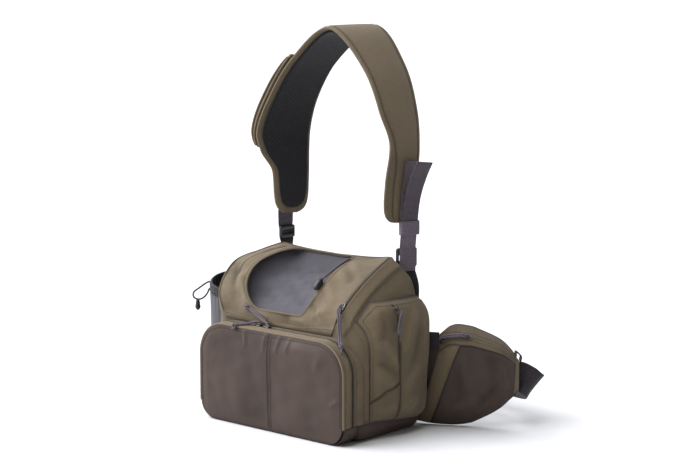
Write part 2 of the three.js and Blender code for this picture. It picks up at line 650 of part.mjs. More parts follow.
const buckle = roundedBox(BUCKLE.length, BUCKLE.height, BUCKLE.thickness, 8);
buckle.rotateX(Math.PI / 2);
buckle.translate(0, BUCKLE.y + BUCKLE.thickness / 2, BUCKLE.z);
piece("belt_buckle", buckle, PLASTIC);

// Shoulder strap: an arch from corner to corner, leaning back as it rises
const strapLine = new THREE.CatmullRomCurve3(
  STRAP.map(({ x, z }) => new THREE.Vector3(x, STRAP_FOOT_Y + STRAP_LEAN * (z - STRAP_FOOT), z)),
  false,
  "centripetal",
);
const strapTable = STRAP.map((row, k) => ({ ...row, order: k / (STRAP.length - 1) }));

function strapPoint(share, across, lift) {
  const along = strapLine.getTangent(share);
  const turn = degToRad(between(strapTable, "order", share, "turn"));
  const wide = new THREE.Vector3(Math.cos(turn), Math.sin(turn), 0);
  wide.addScaledVector(along, -wide.dot(along)).normalize();
  const out = new THREE.Vector3().crossVectors(wide, along).normalize().negate();
  const reach = between(strapTable, "order", share, across < 0 ? "front" : "back");
  return strapLine.getPoint(share).addScaledVector(wide, across * reach).addScaledVector(out, lift);
}

// Rows along the strap, closer together at its rounded tips
const TIP_ROWS = [
  { share: 0, width: 0.55 },
  { share: 0.007, width: 0.78 },
  { share: 0.02, width: 0.93 },
  { share: 0.042, width: 1 },
];
const STRAP_STEPS = 34;
const strapShares = TIP_ROWS.map(({ share }) => share);
for (let k = 2; k <= STRAP_STEPS - 2; k += 1) strapShares.push(k / STRAP_STEPS);
strapShares.push(...TIP_ROWS.map(({ share }) => 1 - share).reverse());
const tipWidth = (share) => between(TIP_ROWS, "share", Math.min(share, 1 - share), "width");

const padSide = (side) => (u, v, i, j) => {
  const across = lerp(-1, 1, u);
  const crown = 1 - 0.5 * Math.abs(across) ** 4;
  const share = strapShares[j];
  return strapPoint(share, across * tipWidth(share), (side * crown * STRAP_PAD) / 2);
};
piece("strap_pad", sheet(padSide(1), padSide(-1), 4, strapShares.length - 1), KHAKI);

const meshShares = strapShares.slice(2, -2);
const MESH_HALF = 0.82;
const meshSide = (lift) => (u, v, i, j) => {
  const share = meshShares[j];
  return strapPoint(share, lerp(-MESH_HALF, MESH_HALF, u) * tipWidth(share), -STRAP_PAD / 2 - 2 * GAP - lift);
};
piece("strap_mesh", sheet(meshSide(0), meshSide(CLOTH), 3, meshShares.length - 1), MESH);

const STRAP_PANEL = { from: 0.2, to: 0.47, half: 0.66, stand: 5 };
const panelLift = (lift) => (u, v) => {
  const swell = STRAP_PANEL.stand * Math.sin(Math.PI * v) ** 0.5 * (1 - lerp(-1, 1, u) ** 4);
  const across = lerp(-STRAP_PANEL.half, STRAP_PANEL.half, u);
  const share = lerp(STRAP_PANEL.from, STRAP_PANEL.to, v);
  return strapPoint(share, across, STRAP_PAD / 2 + 2 * GAP + swell + lift);
};
piece("strap_panel", sheet(panelLift(1.6), panelLift(0), 4, 10), KHAKI);

// Webbing and hardware between the strap's tips and the pack's back corners
const LOCK = { x: 106.4, y: 78, z: 233, turn: 70, width: 32, height: 27, thickness: 4 };
const HOOK = { x: -110.5, y: 70.5, z: 248, turn: 84, width: 27, height: 18, thickness: 3 };
const KEEPER = { x: 117.2, y: 71, z: 276, width: 29, depth: 8.8, height: 19, wall: 1.2, turn: 70 };
const direction = (degrees) => new THREE.Vector3(Math.cos(degToRad(degrees)), Math.sin(degToRad(degrees)), 0);
const crosswise = () => new THREE.Vector3(1, 0, 0);
const webbing = (route, widthAt, steps) =>
  ribbon(route, widthAt, STRAP_WEBBING.width, STRAP_WEBBING.cloth, steps);

// Width that turns from one direction to another over part of a strap's length
const turning = (fromTurn, toTurn, from, to) => (v) =>
  direction(lerp(fromTurn, toTurn, clamp((v - from) / (to - from), 0, 1)));

// Short webbing sewn to the back wall, twisted clear of it up to a piece of hardware
const SEWN = { x: 112, low: 158, high: 174, stand: 2.8, levels: 4 };
function anchor(side, { x, y, z, turn, height }) {
  const station = { cx: side, cy: 1, nx: 0, ny: 1 };
  const foot = z - height / 2 - 3 * GAP;
  const level = foot - 5;
  const route = [bodyPoint(station, SEWN.low, -SEWN.stand).setX(side * SEWN.x).toArray()];
  for (let k = 0; k < SEWN.levels; k += 1) {
    const share = k / SEWN.levels;
    const up = lerp(SEWN.high, level, share);
    const clear = SEWN.stand + (STRAP_WEBBING.width / 2) * Math.sin(degToRad(turn * share));
    route.push([lerp(side * SEWN.x, x, share), bodyPoint(station, up, -clear).y, up]);
  }
  route.push([x, y, level], [x, y, foot]);
  const [from, to] = [SEWN.high, level].map((up) => (up - SEWN.low) / (foot - SEWN.low));
  return webbing(route, turning(side > 0 ? 0 : 180, turn, from, to), 16);
}
piece("strap_anchor_right", anchor(1, LOCK), MESH);
piece("strap_anchor_left", anchor(-1, HOOK), MESH);

// An upright plate with one slot across it
const PLATE_SLOT = { across: 0.76, up: 0.3 };
function slottedPlate({ x, y, z, turn, width, height, thickness }) {
  const shape = new THREE.Shape();
  const [w, h] = [width / 2, height / 2];
  shape.moveTo(-w, -h);
  shape.lineTo(w, -h);
  shape.lineTo(w, h);
  shape.lineTo(-w, h);
  const slot = new THREE.Path();
  const [across, up] = [PLATE_SLOT.across * w, PLATE_SLOT.up * h];
  slot.moveTo(-across, -up);
  slot.lineTo(-across, up);
  slot.lineTo(across, up);
  slot.lineTo(across, -up);
  shape.holes.push(slot);
  const plate = new THREE.ExtrudeGeometry(shape, { depth: thickness, bevelEnabled: false });
  plate.rotateX(Math.PI / 2);
  plate.translate(0, thickness / 2, 0);
  plate.rotateZ(degToRad(turn));
  plate.translate(x, y, z);
  return plate;
}
piece("strap_lock_right", slottedPlate(LOCK), PLASTIC);
piece("strap_hook_left", slottedPlate(HOOK), PLASTIC);

// The right webbing lies on the lock's outer face, passes the keeper and is sewn to the strap
const sewnAt = (share) => strapPoint(share, 0.36, STRAP_PAD / 2 + 5 * GAP).toArray();
const besides = ({ x, y, z, turn }, lift, rise) => {
  const face = direction(turn - 90);
  return [x + lift * face.x, y + lift * face.y, z + rise];
};
const KEEPER_SHARE = STRAP_WEBBING.cloth / 2 + 3 * GAP;
const LOCK_FACE = LOCK.thickness / 2 + STRAP_WEBBING.cloth / 2 + 2 * GAP;
const rightRoute = [
  besides(LOCK, LOCK_FACE, -18.5),
  besides(LOCK, LOCK_FACE, -4),
  besides(LOCK, LOCK_FACE, 14),
  besides(KEEPER, -KEEPER_SHARE, -10),
  besides(KEEPER, -KEEPER_SHARE, 10),
  sewnAt(0.95),
  sewnAt(0.9),
  sewnAt(0.855),
];
const ontoStrap = turning(KEEPER.turn, STRAP.at(-1).turn, 0.5, 0.6);
piece("strap_webbing_right", webbing(rightRoute, ontoStrap, 30), WEBBING);
const tailRoute = [
  besides(KEEPER, KEEPER_SHARE, -9),
  besides(KEEPER, KEEPER_SHARE, 10),
  [124, 70, 318],
  [135, 69, 346],
  [147, 68, 368],
];
piece("strap_tail_right", webbing(tailRoute, () => direction(KEEPER.turn), 12), WEBBING);

const onLeftTip = (share) => strapPoint(share, -0.05, STRAP_PAD / 2 + 6 * GAP).toArray();
const HOOK_FACE = -(HOOK.thickness / 2 + STRAP_WEBBING.cloth / 2 + 3 * GAP);
const leftRoute = [
  besides(HOOK, HOOK_FACE, -6),
  besides(HOOK, HOOK_FACE, 8),
  [-109.6, 66, 268],
  onLeftTip(0.02),
  onLeftTip(0.06),
];
piece("strap_webbing_left", webbing(leftRoute, turning(HOOK.turn, STRAP[0].turn, 0.2, 0.5), 16), WEBBING);

// Band that holds the right webbing's tail against it
function keeperBand() {
  const { width, depth, height, wall, turn } = KEEPER;
  const outline = (inset) => {
    const [w, d] = [width / 2 - inset, depth / 2 - inset];
    return [[-w, -d], [w, -d], [w, d], [-w, d]].map(([x, y]) => new THREE.Vector2(x, y));
  };
  const shape = new THREE.Shape(outline(0));
  shape.holes.push(new THREE.Path(outline(wall).reverse()));
  const band = new THREE.ExtrudeGeometry(shape, { depth: height, bevelEnabled: false });
  band.rotateZ(degToRad(turn));
  band.translate(KEEPER.x, KEEPER.y, KEEPER.z - height / 2);
  return band;
}
piece("strap_keeper", keeperBand(), WEBBING);

// Zip sliders: a small tapered block on the zip, pointing along it
const SLIDER = { length: 10, wide: 8, narrow: 5, height: 3.4 };
function slider(name, place, along, up) {
  const { length, wide, narrow, height } = SLIDER;
  const shape = new THREE.Shape([
    new THREE.Vector2(-length / 2, -narrow / 2),
    new THREE.Vector2(0, -wide / 2),
    new THREE.Vector2(length / 2, -wide / 2),
    new THREE.Vector2(length / 2, wide / 2),
    new THREE.Vector2(0, wide / 2),
    new THREE.Vector2(-length / 2, narrow / 2),
  ]);
  const block = new THREE.ExtrudeGeometry(shape, { depth: height, bevelEnabled: false });
  const sideways = new THREE.Vector3().crossVectors(up, along).normalize();
  const ahead = new THREE.Vector3().crossVectors(sideways, up).normalize();
  block.applyMatrix4(new THREE.Matrix4().makeBasis(ahead, sideways, up));
  block.translate(...place);
  piece(name, block, METAL);
}

const above = (surface, u, v, lift) => offset(surface, lift)(u, v);
const upward = new THREE.Vector3(0, 0, 1);
const frontZipMiddle = (WELT_BACK + FRONT_ZIP_BACK) / 2;
slider("slider_front_left", new THREE.Vector3(-39, frontZipMiddle, POCKET.top + GAP), crosswise(), upward);
slider("slider_front_right", new THREE.Vector3(-22, frontZipMiddle, POCKET.top + GAP), crosswise(), upward);

const LID_SLIDER_SHARE = 0.885;
const rightTape = (u, v) => {
  const share = lerp(0.8, 0.97, v);
  return lidPoint(rimHalfWidth(share, 1) - CLOTH - 2 * GAP - ZIP_WIDTH * u, share);
};
const lidSliderV = (LID_SLIDER_SHARE - 0.8) / 0.17;
const lidSliderUp = normalOf(rightTape, 0.5, lidSliderV);
const lidSliderPlace = rightTape(0.5, lidSliderV).addScaledVector(lidSliderUp, 3 * GAP);
const lidSliderAlong = rightTape(0.5, lidSliderV + 0.1).sub(rightTape(0.5, lidSliderV - 0.1)).normalize();
slider("slider_lid", lidSliderPlace, lidSliderAlong, lidSliderUp);

const SIDE_SLIDER = 0.9;
const sideZipTop = sideZip(ZIP_CLOTH + 3 * GAP);
const sideSliderAlong = sideZipTop(0.5, SIDE_SLIDER + 0.04).sub(sideZipTop(0.5, SIDE_SLIDER - 0.04));
slider("slider_side", sideZipTop(0.5, SIDE_SLIDER), sideSliderAlong, normalOf(sideZipTop, 0.5, SIDE_SLIDER));

const wingZipMiddle = wingZip(2 * GAP + ZIP_CLOTH);
const wingSliderUp = normalOf(wingTop(CLOTH), 0.06, 0.46);
const wingSliderPlace = wingZipMiddle(0.5, 0.04).addScaledVector(wingSliderUp, 2 * GAP);
const wingSliderAlong = wingZipMiddle(0.5, 0.1).sub(wingZipMiddle(0.5, 0)).normalize();
slider("slider_wing", wingSliderPlace, wingSliderAlong, wingSliderUp);

// Cords: eight-sided tubes along routes chosen by hand
function cord(name, route, finish, diameter = CORD) {
  const curve = new THREE.CatmullRomCurve3(route.map((place) => new THREE.Vector3(...place)));
  const section = new THREE.Shape();
  section.absarc(0, 0, diameter / 2, 0, 2 * Math.PI);
  const steps = Math.round(curve.getLength() / (2.5 * diameter));
  const tube = new THREE.ExtrudeGeometry(section, { steps, extrudePath: curve, curveSegments: 4 });
  piece(name, tube, finish);
}

const onSlider = (place, up, along, ahead) => {
  const above = place.clone().addScaledVector(up, SLIDER.height + CORD / 2 + 2 * GAP);
  return above.addScaledVector(along, ahead).toArray();
};
const PULL_ROUTES = {
  pull_front_left: [
    [-39, -63, 144.6],
    [-44, -66, 144.2],
    [-50, -72, 142],
    [-57, -79, 141.2],
    [-63, -85.4, 139.6],
    [-66, -87.2, 135],
  ],
  pull_front_right: [
    [-22, -63, 144.6],
    [-28, -62.6, 146],
    [-38, -61, 149],
    [-50, -59, 154],
    [-63, -57.4, 159],
    [-74, -56.4, 163],
  ],
  pull_lid: [
    onSlider(lidSliderPlace, lidSliderUp, lidSliderAlong, 0),
    onSlider(lidSliderPlace, lidSliderUp, lidSliderAlong, 6),
    [103, -54, 169],
    [106, -57, 160],
    [108, -58.6, 150],
    [111.5, -62, 141.6],
    [117.5, -68.4, 135],
    [124, -75, 127],
  ],
  pull_side: [
    [156.4, 10, 174],
    [156.6, 9.6, 168],
    [155.4, 9, 160],
    [154.6, 8, 152],
    [154.2, 6.6, 143],
  ],
  pull_wing: [
    onSlider(wingSliderPlace, wingSliderUp, wingSliderAlong, 0),
    onSlider(wingSliderPlace, wingSliderUp, wingSliderAlong, 6),
    [185, 94.4, 133.8],
    [192, 98, 133.4],
    [199, 102.4, 132],
  ],
};
for (const [name, route] of Object.entries(PULL_ROUTES)) cord(name, route, PULL);

// Elastic of the sleeve's hem: it comes out, hangs in a loop with a toggle and goes back in
const TOGGLE = { x: -217.4, y: -6.4, z: 139.2, radius: 4, narrow: 2.6, length: 12 };
const ELASTIC = 2.6;
const HEM_LOOP = [
  [-206.6, 6.2, 172],
  [-209.4, 2.6, 169.8],
  [-216, -4.6, 163],
  [-221.6, -10.4, 156.6],
  [-221.8, -10.8, 150.4],
  [-218, -7, 146.4],
  [-212.6, -2.2, 147.6],
  [-208.4, 2.6, 153.4],
  [-206.6, 6.4, 161],
];
cord("sleeve_cord", HEM_LOOP, MESH, ELASTIC);
const toggle = new THREE.CylinderGeometry(TOGGLE.narrow, TOGGLE.radius, TOGGLE.length, 10);
toggle.rotateX(Math.PI / 2);
toggle.translate(TOGGLE.x, TOGGLE.y, TOGGLE.z);
piece("sleeve_toggle", toggle, PLASTIC);

// Elastic beside the trough's mouth, with its barrel lock lying on the lid
const RECESS_LOCK = { share: 0.74, x: 41, radius: 4.6, length: 15 };
const lockSurface = (u, v) => lidPoint(lerp(RECESS_LOCK.x - 10, RECESS_LOCK.x + 10, u), lerp(0.5, 0.98, v));
const lockV = (RECESS_LOCK.share - 0.5) / 0.48;
const lockUp = normalOf(lockSurface, 0.5, lockV).negate();
const lockAlong = lockSurface(0.5, lockV - 0.05).sub(lockSurface(0.5, lockV + 0.05)).normalize();
const lockPlace = lockSurface(0.5, lockV).addScaledVector(lockUp, RECESS_LOCK.radius + 2 * GAP);
const barrel = new THREE.CylinderGeometry(RECESS_LOCK.radius, RECESS_LOCK.radius, RECESS_LOCK.length, 12);
const lockSide = new THREE.Vector3().crossVectors(lockAlong, lockUp);
barrel.applyMatrix4(new THREE.Matrix4().makeBasis(lockSide, lockAlong, lockUp));
barrel.translate(...lockPlace);
piece("recess_cord_lock", barrel, PLASTIC);
const lockEnd = lockPlace.clone().addScaledVector(lockAlong, RECESS_LOCK.length / 2 + 3 * GAP);
const RECESS_ROUTE = [lockEnd.toArray(), [42, -4, 216.6], [43, 8, 222.4], [44, 20, 227], [45, 30, 230]];
cord("recess_cord", RECESS_ROUTE, GRAY);

export default pack;
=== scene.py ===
"""Looks of the fly fishing hip pack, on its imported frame.

Shapes are worked out in millimetres from driving sizes like those of the part's source, and
Skin.build turns them to metres. +X is the pack's right, -Y its front and Z is up.
"""

import math
from collections import namedtuple

import bpy
import numpy as np
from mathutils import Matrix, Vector


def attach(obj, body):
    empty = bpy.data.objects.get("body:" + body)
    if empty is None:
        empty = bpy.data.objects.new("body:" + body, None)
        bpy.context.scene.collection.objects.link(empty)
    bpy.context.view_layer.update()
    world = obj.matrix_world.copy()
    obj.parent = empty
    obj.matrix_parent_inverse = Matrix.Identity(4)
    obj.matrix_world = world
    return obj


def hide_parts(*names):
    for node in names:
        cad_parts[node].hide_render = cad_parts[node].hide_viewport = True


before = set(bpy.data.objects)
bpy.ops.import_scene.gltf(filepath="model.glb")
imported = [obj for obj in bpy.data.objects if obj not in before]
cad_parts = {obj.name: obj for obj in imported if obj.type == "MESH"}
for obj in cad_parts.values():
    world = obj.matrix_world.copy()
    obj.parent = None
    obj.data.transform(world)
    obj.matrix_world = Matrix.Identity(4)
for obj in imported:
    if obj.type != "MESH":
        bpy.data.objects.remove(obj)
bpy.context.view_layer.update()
scene = bpy.context.scene
MM, GAP = 0.001, 0.3
QUARTER, FULL_TURN = math.pi / 2, 2 * math.pi
RIGHTWARD, UPWARD = np.array([1.0, 0, 0]), np.array([0, 0, 1.0])


def put(name, data, place, forward):
    """Puts a camera or a lamp into the scene, looking forward."""
    made = bpy.data.objects.new(name, data)
    made.location = place
    made.rotation_euler = Vector(forward).to_track_quat("-Z", "Y").to_euler()
    scene.collection.objects.link(made)
    return made


# Camera, at the photograph's angle
CAMERA_PLACE, CAMERA_FORWARD = (1.8254, -1.9726, 0.6765), (-0.6566, 0.7389, -0.1517)
SENSOR_WIDTH, LENS, CLIP_END = 36, 101.8, 200
camera = put("camera", bpy.data.cameras.new("camera"), CAMERA_PLACE, CAMERA_FORWARD)
camera.data.sensor_fit = "HORIZONTAL"
camera.data.sensor_width, camera.data.lens, camera.data.clip_end = SENSOR_WIDTH, LENS, CLIP_END
scene.camera = camera


# Numbers and vectors
def lerp(a, b, t):
    return a + (b - a) * t


def clamp(value, low=0.0, high=1.0):
    return np.clip(value, low, high)


def ease(value):
    value = clamp(value)
    return value * value * (3 - 2 * value)


def bell(distance, width):
    return np.exp(-((distance / width) ** 2))


def free(share, start, end=None):
    """One in the middle of a share, and none at its two ends, where cloth is held."""
    return ease(start * share) * ease((end or start) * (1 - share))


def squared(value, power):
    """A sine or cosine pushed towards its limits, which squares a round section."""
    return np.sign(value) * np.abs(value) ** power


def even(count, closed=False):
    return np.linspace(0, 1, count, endpoint=not closed)


def turns(count):
    return FULL_TURN * even(count, True)


def grid_of(us, vs):
    return np.meshgrid(us, vs, indexing="ij")


def vec(*parts):
    return np.stack(np.broadcast_arrays(*(np.asarray(p, float) for p in parts)), -1)


def unit(v):
    return v / np.maximum(np.linalg.norm(v, axis=-1, keepdims=True), 1e-9)


def square_to(v, along):
    """The direction nearest to v at right angles to along."""
    return unit(v - along * np.sum(v * along, axis=-1, keepdims=True))


def headed(degrees):
    turn = np.radians(degrees)
    return vec(np.cos(turn), np.sin(turn), 0 * turn)


def run_along(line):
    return np.r_[0, np.cumsum(np.linalg.norm(np.diff(line, axis=0), axis=1))]


def smooth_table(rows):
    """Reads a smooth line without overshoot through rows of (place, value, ...)."""
    rows = np.array(rows, float)
    at, values = rows[:, 0], rows[:, 1:]
    slope = np.diff(values, axis=0) / np.diff(at)[:, None]
    tangent = np.vstack([slope[:1], np.zeros_like(slope[1:]), slope[-1:]])
    a, b = slope[:-1], slope[1:]
    same = a * b > 0
    tangent[1:-1][same] = 2 * a[same] * b[same] / (a + b)[same]

    def read(place):
        place = np.clip(np.asarray(place, float), at[0], at[-1])
        i = np.clip(np.searchsorted(at, place, side="right") - 1, 0, len(at) - 2)
        step = (at[i + 1] - at[i])[..., None]
        t = (place - at[i])[..., None] / step
        rise = lerp(values[i], values[i + 1], t * t * (3 - 2 * t))
        bend = (t**3 - 2 * t**2 + t) * tangent[i] + (t**3 - t**2) * tangent[i + 1]
        result = rise + bend * step
        return result[..., 0] if values.shape[1] == 1 else np.moveaxis(result, -1, 0)

    return read


RIPPLE_WAVES = 7


def ripples(points, size, seed, stretch=(1, 1, 1)):
    """Slow random waves from about -1 to 1, about size long."""
    random = np.random.default_rng(seed)
    total = 0
    for _ in range(RIPPLE_WAVES):
        heading = unit(random.normal(size=3)) * np.array(stretch) * random.uniform(0.6, 1.5)
        total = total + np.sin(FULL_TURN * points @ heading / size + random.uniform(0, 7))
    return total / 4


def near_line(points, line):
    """Distance of each point from a line, and the share of the line that it lies at."""
    line = np.array(line, float)
    best, place = np.full(points.shape[:-1], 1e9), np.zeros(points.shape[:-1])
    for k, (a, b) in enumerate(zip(line[:-1], line[1:])):
        t = clamp(((points - a) @ (b - a)) / max((b - a) @ (b - a), 1e-9))
        far = np.linalg.norm(points - a - t[..., None] * (b - a), axis=-1)
        nearer = far < best
        best = np.where(nearer, far, best)
        place = np.where(nearer, (k + t) / (len(line) - 1), place)
    return best, place


def folds(points, rows):
    """Height of soft folds; each row is (line, height, width), and a fold fades at its ends."""
    total = np.zeros(points.shape[:-1])
    for line, height, width in rows:
        far, place = near_line(points, line)
        total = total + height * bell(far, width) * np.sin(math.pi * clamp(place)) ** 0.7
    return total


class Route:
    """The centripetal Catmull-Rom line that the part's source draws through its points."""

    def __init__(self, points):
        points = np.array(points, float)
        self.points = np.vstack([2 * points[0] - points[1], points, 2 * points[-1] - points[-2]])
        self.spans = len(points) - 1
        self.order = np.linspace(0, 1, 60 * self.spans + 1)
        run = run_along(self.point(self.order))
        self.length, self.share = run[-1], run / run[-1]

    def point(self, order):
        place = clamp(np.asarray(order, float)) * self.spans
        i = np.minimum(place.astype(int), self.spans - 1)
        t = (place - i)[..., None]
        a, b, c, d = (self.points[i + k] for k in range(4))
        pairs = ((a, b), (b, c), (c, d))
        ab, bc, cd = (np.sqrt(np.linalg.norm(q - p, axis=-1))[..., None] for p, q in pairs)
        start = ((b - a) / ab - (c - a) / (ab + bc) + (c - b) / bc) * bc
        end = ((c - b) / bc - (d - b) / (bc + cd) + (d - c) / cd) * bc
        bend = (3 * (c - b) - 2 * start - end) * t**2 + (2 * (b - c) + start + end) * t**3
        return b + start * t + bend

    def at(self, share):
        return self.point(np.interp(share, self.share, self.order))

    def tangent(self, order):
        return unit(self.point(order + 1e-4) - self.point(order - 1e-4))

    def tangent_at(self, share):
        return self.tangent(np.interp(share, self.share, self.order))


# Materials, all from procedural nodes; their colours are given as they look on a screen
WAVE_PERIOD, SHADE_SHARE, HOLE_COLOR = FULL_TURN / 20, 0.82, (0.004, 0.0035, 0.0045, 1)


def linear(color):
    return tuple(c / 255 / 12.92 if c < 10.3 else ((c / 255 + 0.055) / 1.055) ** 2.4 for c in color)


class Shader:
    """A material under construction, around its one shader node."""

    def __init__(self, name, **sockets):
        self.material = bpy.data.materials.new(name)
        self.material.use_nodes = True
        self.tree = self.material.node_tree
        self.bsdf = self.tree.nodes["Principled BSDF"]
        for socket, value in sockets.items():
            self.bsdf.inputs[socket.replace("_", " ")].default_value = value

    def node(self, kind, inputs=None, **settings):
        made = self.tree.nodes.new("ShaderNode" + kind)
        for key, value in settings.items():
            setattr(made, key, value)
        for key, value in (inputs or {}).items():
            if isinstance(value, bpy.types.NodeSocket):
                self.tree.links.new(value, made.inputs[key])
            else:
                made.inputs[key].default_value = value
        return made

    def cloth(self):
        return self.node("UVMap", uv_map="cloth").outputs["UV"]

    def place(self):
        return self.node("TexCoord").outputs["Object"]

    def mapped(self, vector, **change):
        return self.node("Mapping", {"Vector": vector, **change}).outputs["Vector"]

    def noise(self, vector, scale, detail=2.0, roughness=0.5):
        inputs = {"Vector": vector, "Scale": scale, "Detail": detail, "Roughness": roughness}
        return self.node("TexNoise", inputs).outputs["Fac"]

    def wave(self, vector, size, way="X", distortion=0.0):
        inputs = {"Vector": vector, "Scale": WAVE_PERIOD / size, "Distortion": distortion, "Detail": 1.0}
        return self.node("TexWave", inputs, bands_direction=way).outputs["Fac"]

    def cells(self, vector, **change):
        return self.node("TexVoronoi", {"Vector": vector, **change}).outputs["Distance"]

    def math(self, operation, a, b):
        return self.node("Math", {0: a, 1: b}, operation=operation).outputs[0]

    def total(self, a, b, share_a=1, share_b=1):
        pairs = ((a, share_a), (b, share_b))
        return self.math("ADD", *(w if s == 1 else self.math("MULTIPLY", w, s) for w, s in pairs))

    def ramp(self, factor, start, low, end, high):
        """From low at start to high at end; each is a gray or a colour."""
        made = self.node("ValToRGB", {"Fac": factor})
        for element, place, color in zip(made.color_ramp.elements, (start, end), (low, high)):
            element.position = place
            element.color = (*linear(color), 1) if isinstance(color, tuple) else (color, color, color, 1)
        return made.outputs["Color"]

    def mixed(self, factor, a, b, blend="MIX"):
        made = self.node("Mix", {0: factor, 6: a, 7: b}, data_type="RGBA", blend_type=blend)
        return made.outputs[2]

    def finish(self, color, rough, height, strength, depth):
        """Links everything up; the colour is darker in the folds and seams that the mesh marks."""
        marks = self.node("Attribute", attribute_name="shade").outputs["Fac"]
        shade = self.ramp(marks, 0, 0.02, 1, 1.0)
        bump = self.node("Bump", {"Height": height, "Strength": strength, "Distance": depth})
        marked = self.mixed(SHADE_SHARE, color, shade, "MULTIPLY")
        ends = {"Base Color": marked, "Roughness": rough, "Normal": bump.outputs["Normal"]}
        for socket, output in ends.items():
            self.tree.links.new(output, self.bsdf.inputs[socket])
        return self.material


def woven(name, dark, light, pitch, bump=0.35):
    """A plain weave: threads over and under each other, mottled and streaked along both threads."""
    shader = Shader(name, Sheen_Weight=0.12, Sheen_Roughness=0.45, Specular_IOR_Level=0.3)
    cloth = shader.cloth()
    warp, weft = (shader.wave(cloth, pitch, way, 0.6) for way in "XY")
    over = shader.node("TexChecker", {"Vector": cloth, "Scale": 1 / pitch}).outputs["Fac"]
    weave = shader.node("Mix", {0: over, 2: warp, 3: weft}, data_type="FLOAT").outputs[0]
    stretches = ((1400, 110, 1), (110, 1400, 1))
    streaks = shader.total(*(shader.noise(shader.mapped(cloth, Scale=s), 1.0) for s in stretches))
    blotches = shader.noise(shader.place(), 28.0, 4.0, 0.6)
    color = shader.ramp(shader.total(streaks, blotches, 0.42, 0.16), 0.3, dark, 0.7, light)
    color = shader.mixed(0.6, color, shader.ramp(weave, 0.0, 0.8, 0.7, 1.0), "MULTIPLY")
    rough = shader.ramp(blotches, 0.3, 0.7, 0.7, 0.84)
    return shader.finish(color, rough, shader.total(weave, streaks, 1, 0.5), bump, 0.0005)


def coated(name, dark, light):
    """Cloth under a smooth coating: a fine grain, soft broad highlights and faint rubbing."""
    shader = Shader(name, Specular_IOR_Level=0.24)
    cloth, place = shader.cloth(), shader.place()
    grain = shader.total(shader.cells(cloth, Scale=1500.0), shader.noise(cloth, 900.0, 3.0, 0.6))
    blotches, rubbed = shader.noise(place, 22.0, 5.0, 0.62), shader.noise(place, 130.0, 3.0, 0.7)
    tone = shader.total(blotches, rubbed, 0.85, 0.15)
    color, rough = shader.ramp(tone, 0.1, dark, 0.9, light), shader.ramp(tone, 0.3, 0.59, 0.7, 0.43)
    return shader.finish(color, rough, grain, 0.25, 0.0003)


def webbed(name, dark, light, rib=0.0017):
    """Flat webbing: ribs across its length and fine threads along it."""
    shader = Shader(name, Sheen_Weight=0.15, Specular_IOR_Level=0.3)
    cloth = shader.cloth()
    ribs, threads = shader.wave(cloth, rib, "X", 1.2), shader.wave(cloth, rib * 0.7, "Y", 1.2)
    worn = shader.noise(cloth, 420.0, 3.0, 0.6)
    color = shader.ramp(worn, 0.3, dark, 0.7, light)
    color = shader.mixed(0.5, color, shader.ramp(ribs, 0, 0.6, 0.6, 1.0), "MULTIPLY")
    rough = shader.ramp(worn, 0.3, 0.86, 0.7, 0.68)
    return shader.finish(color, rough, shader.total(ribs, threads, 1, 0.4), 0.5, 0.0005)


def meshed(name, dark, light, pitch):
    """Open spacer mesh: a diagonal lattice of small holes."""
    shader = Shader(name, Specular_IOR_Level=0.3, Sheen_Weight=0.1)
    cloth = shader.cloth()
    turned = shader.mapped(cloth, Rotation=(0, 0, math.pi / 4))
    lattice = shader.ramp(shader.cells(turned, Scale=1 / pitch, Randomness=0.0), 0.3, 0.0, 0.46, 1.0)
    fuzz = shader.noise(cloth, 2200.0, 2.0, 0.6)
    color = shader.mixed(lattice, HOLE_COLOR, shader.ramp(fuzz, 0.3, dark, 0.7, light))
    return shader.finish(color, shader.ramp(fuzz, 0.2, 0.9, 0.8, 0.7), lattice, 0.6, 0.0007)


def braided(name, dark, light, pitch=0.0016):
    """Round cord: strands crossing in a braid."""
    shader = Shader(name, Specular_IOR_Level=0.3, Sheen_Weight=0.1)
    cloth = shader.cloth()
    strands = (shader.wave(shader.mapped(cloth, Rotation=(0, 0, lean)), pitch) for lean in (0.7, -0.7))
    crossing = shader.math("MAXIMUM", *strands)
    fuzz = shader.noise(cloth, 1500.0, 2.0, 0.6)
    color = shader.ramp(fuzz, 0.3, dark, 0.7, light)
    color = shader.mixed(0.55, color, shader.ramp(crossing, 0.2, 0.5, 0.8, 1.0), "MULTIPLY")
    return shader.finish(color, shader.ramp(fuzz, 0.3, 0.85, 0.7, 0.7), crossing, 0.5, 0.0004)


def moulded(name, dark, light, roughness=0.38, metallic=0.0):
    """Moulded plastic or cast metal with a fine texture and scuffs."""
    shader = Shader(name, Metallic=metallic, Specular_IOR_Level=0.5)
    place = shader.place()
    scuffs, grain = shader.noise(place, 420.0, 5.0, 0.7), shader.noise(place, 3200.0, 2.0, 0.5)
    rough = shader.ramp(scuffs, 0.3, roughness - 0.07, 0.7, roughness + 0.14)
    return shader.finish(shader.ramp(scuffs, 0.35, dark, 0.7, light), rough, grain, 0.08, 0.0002)


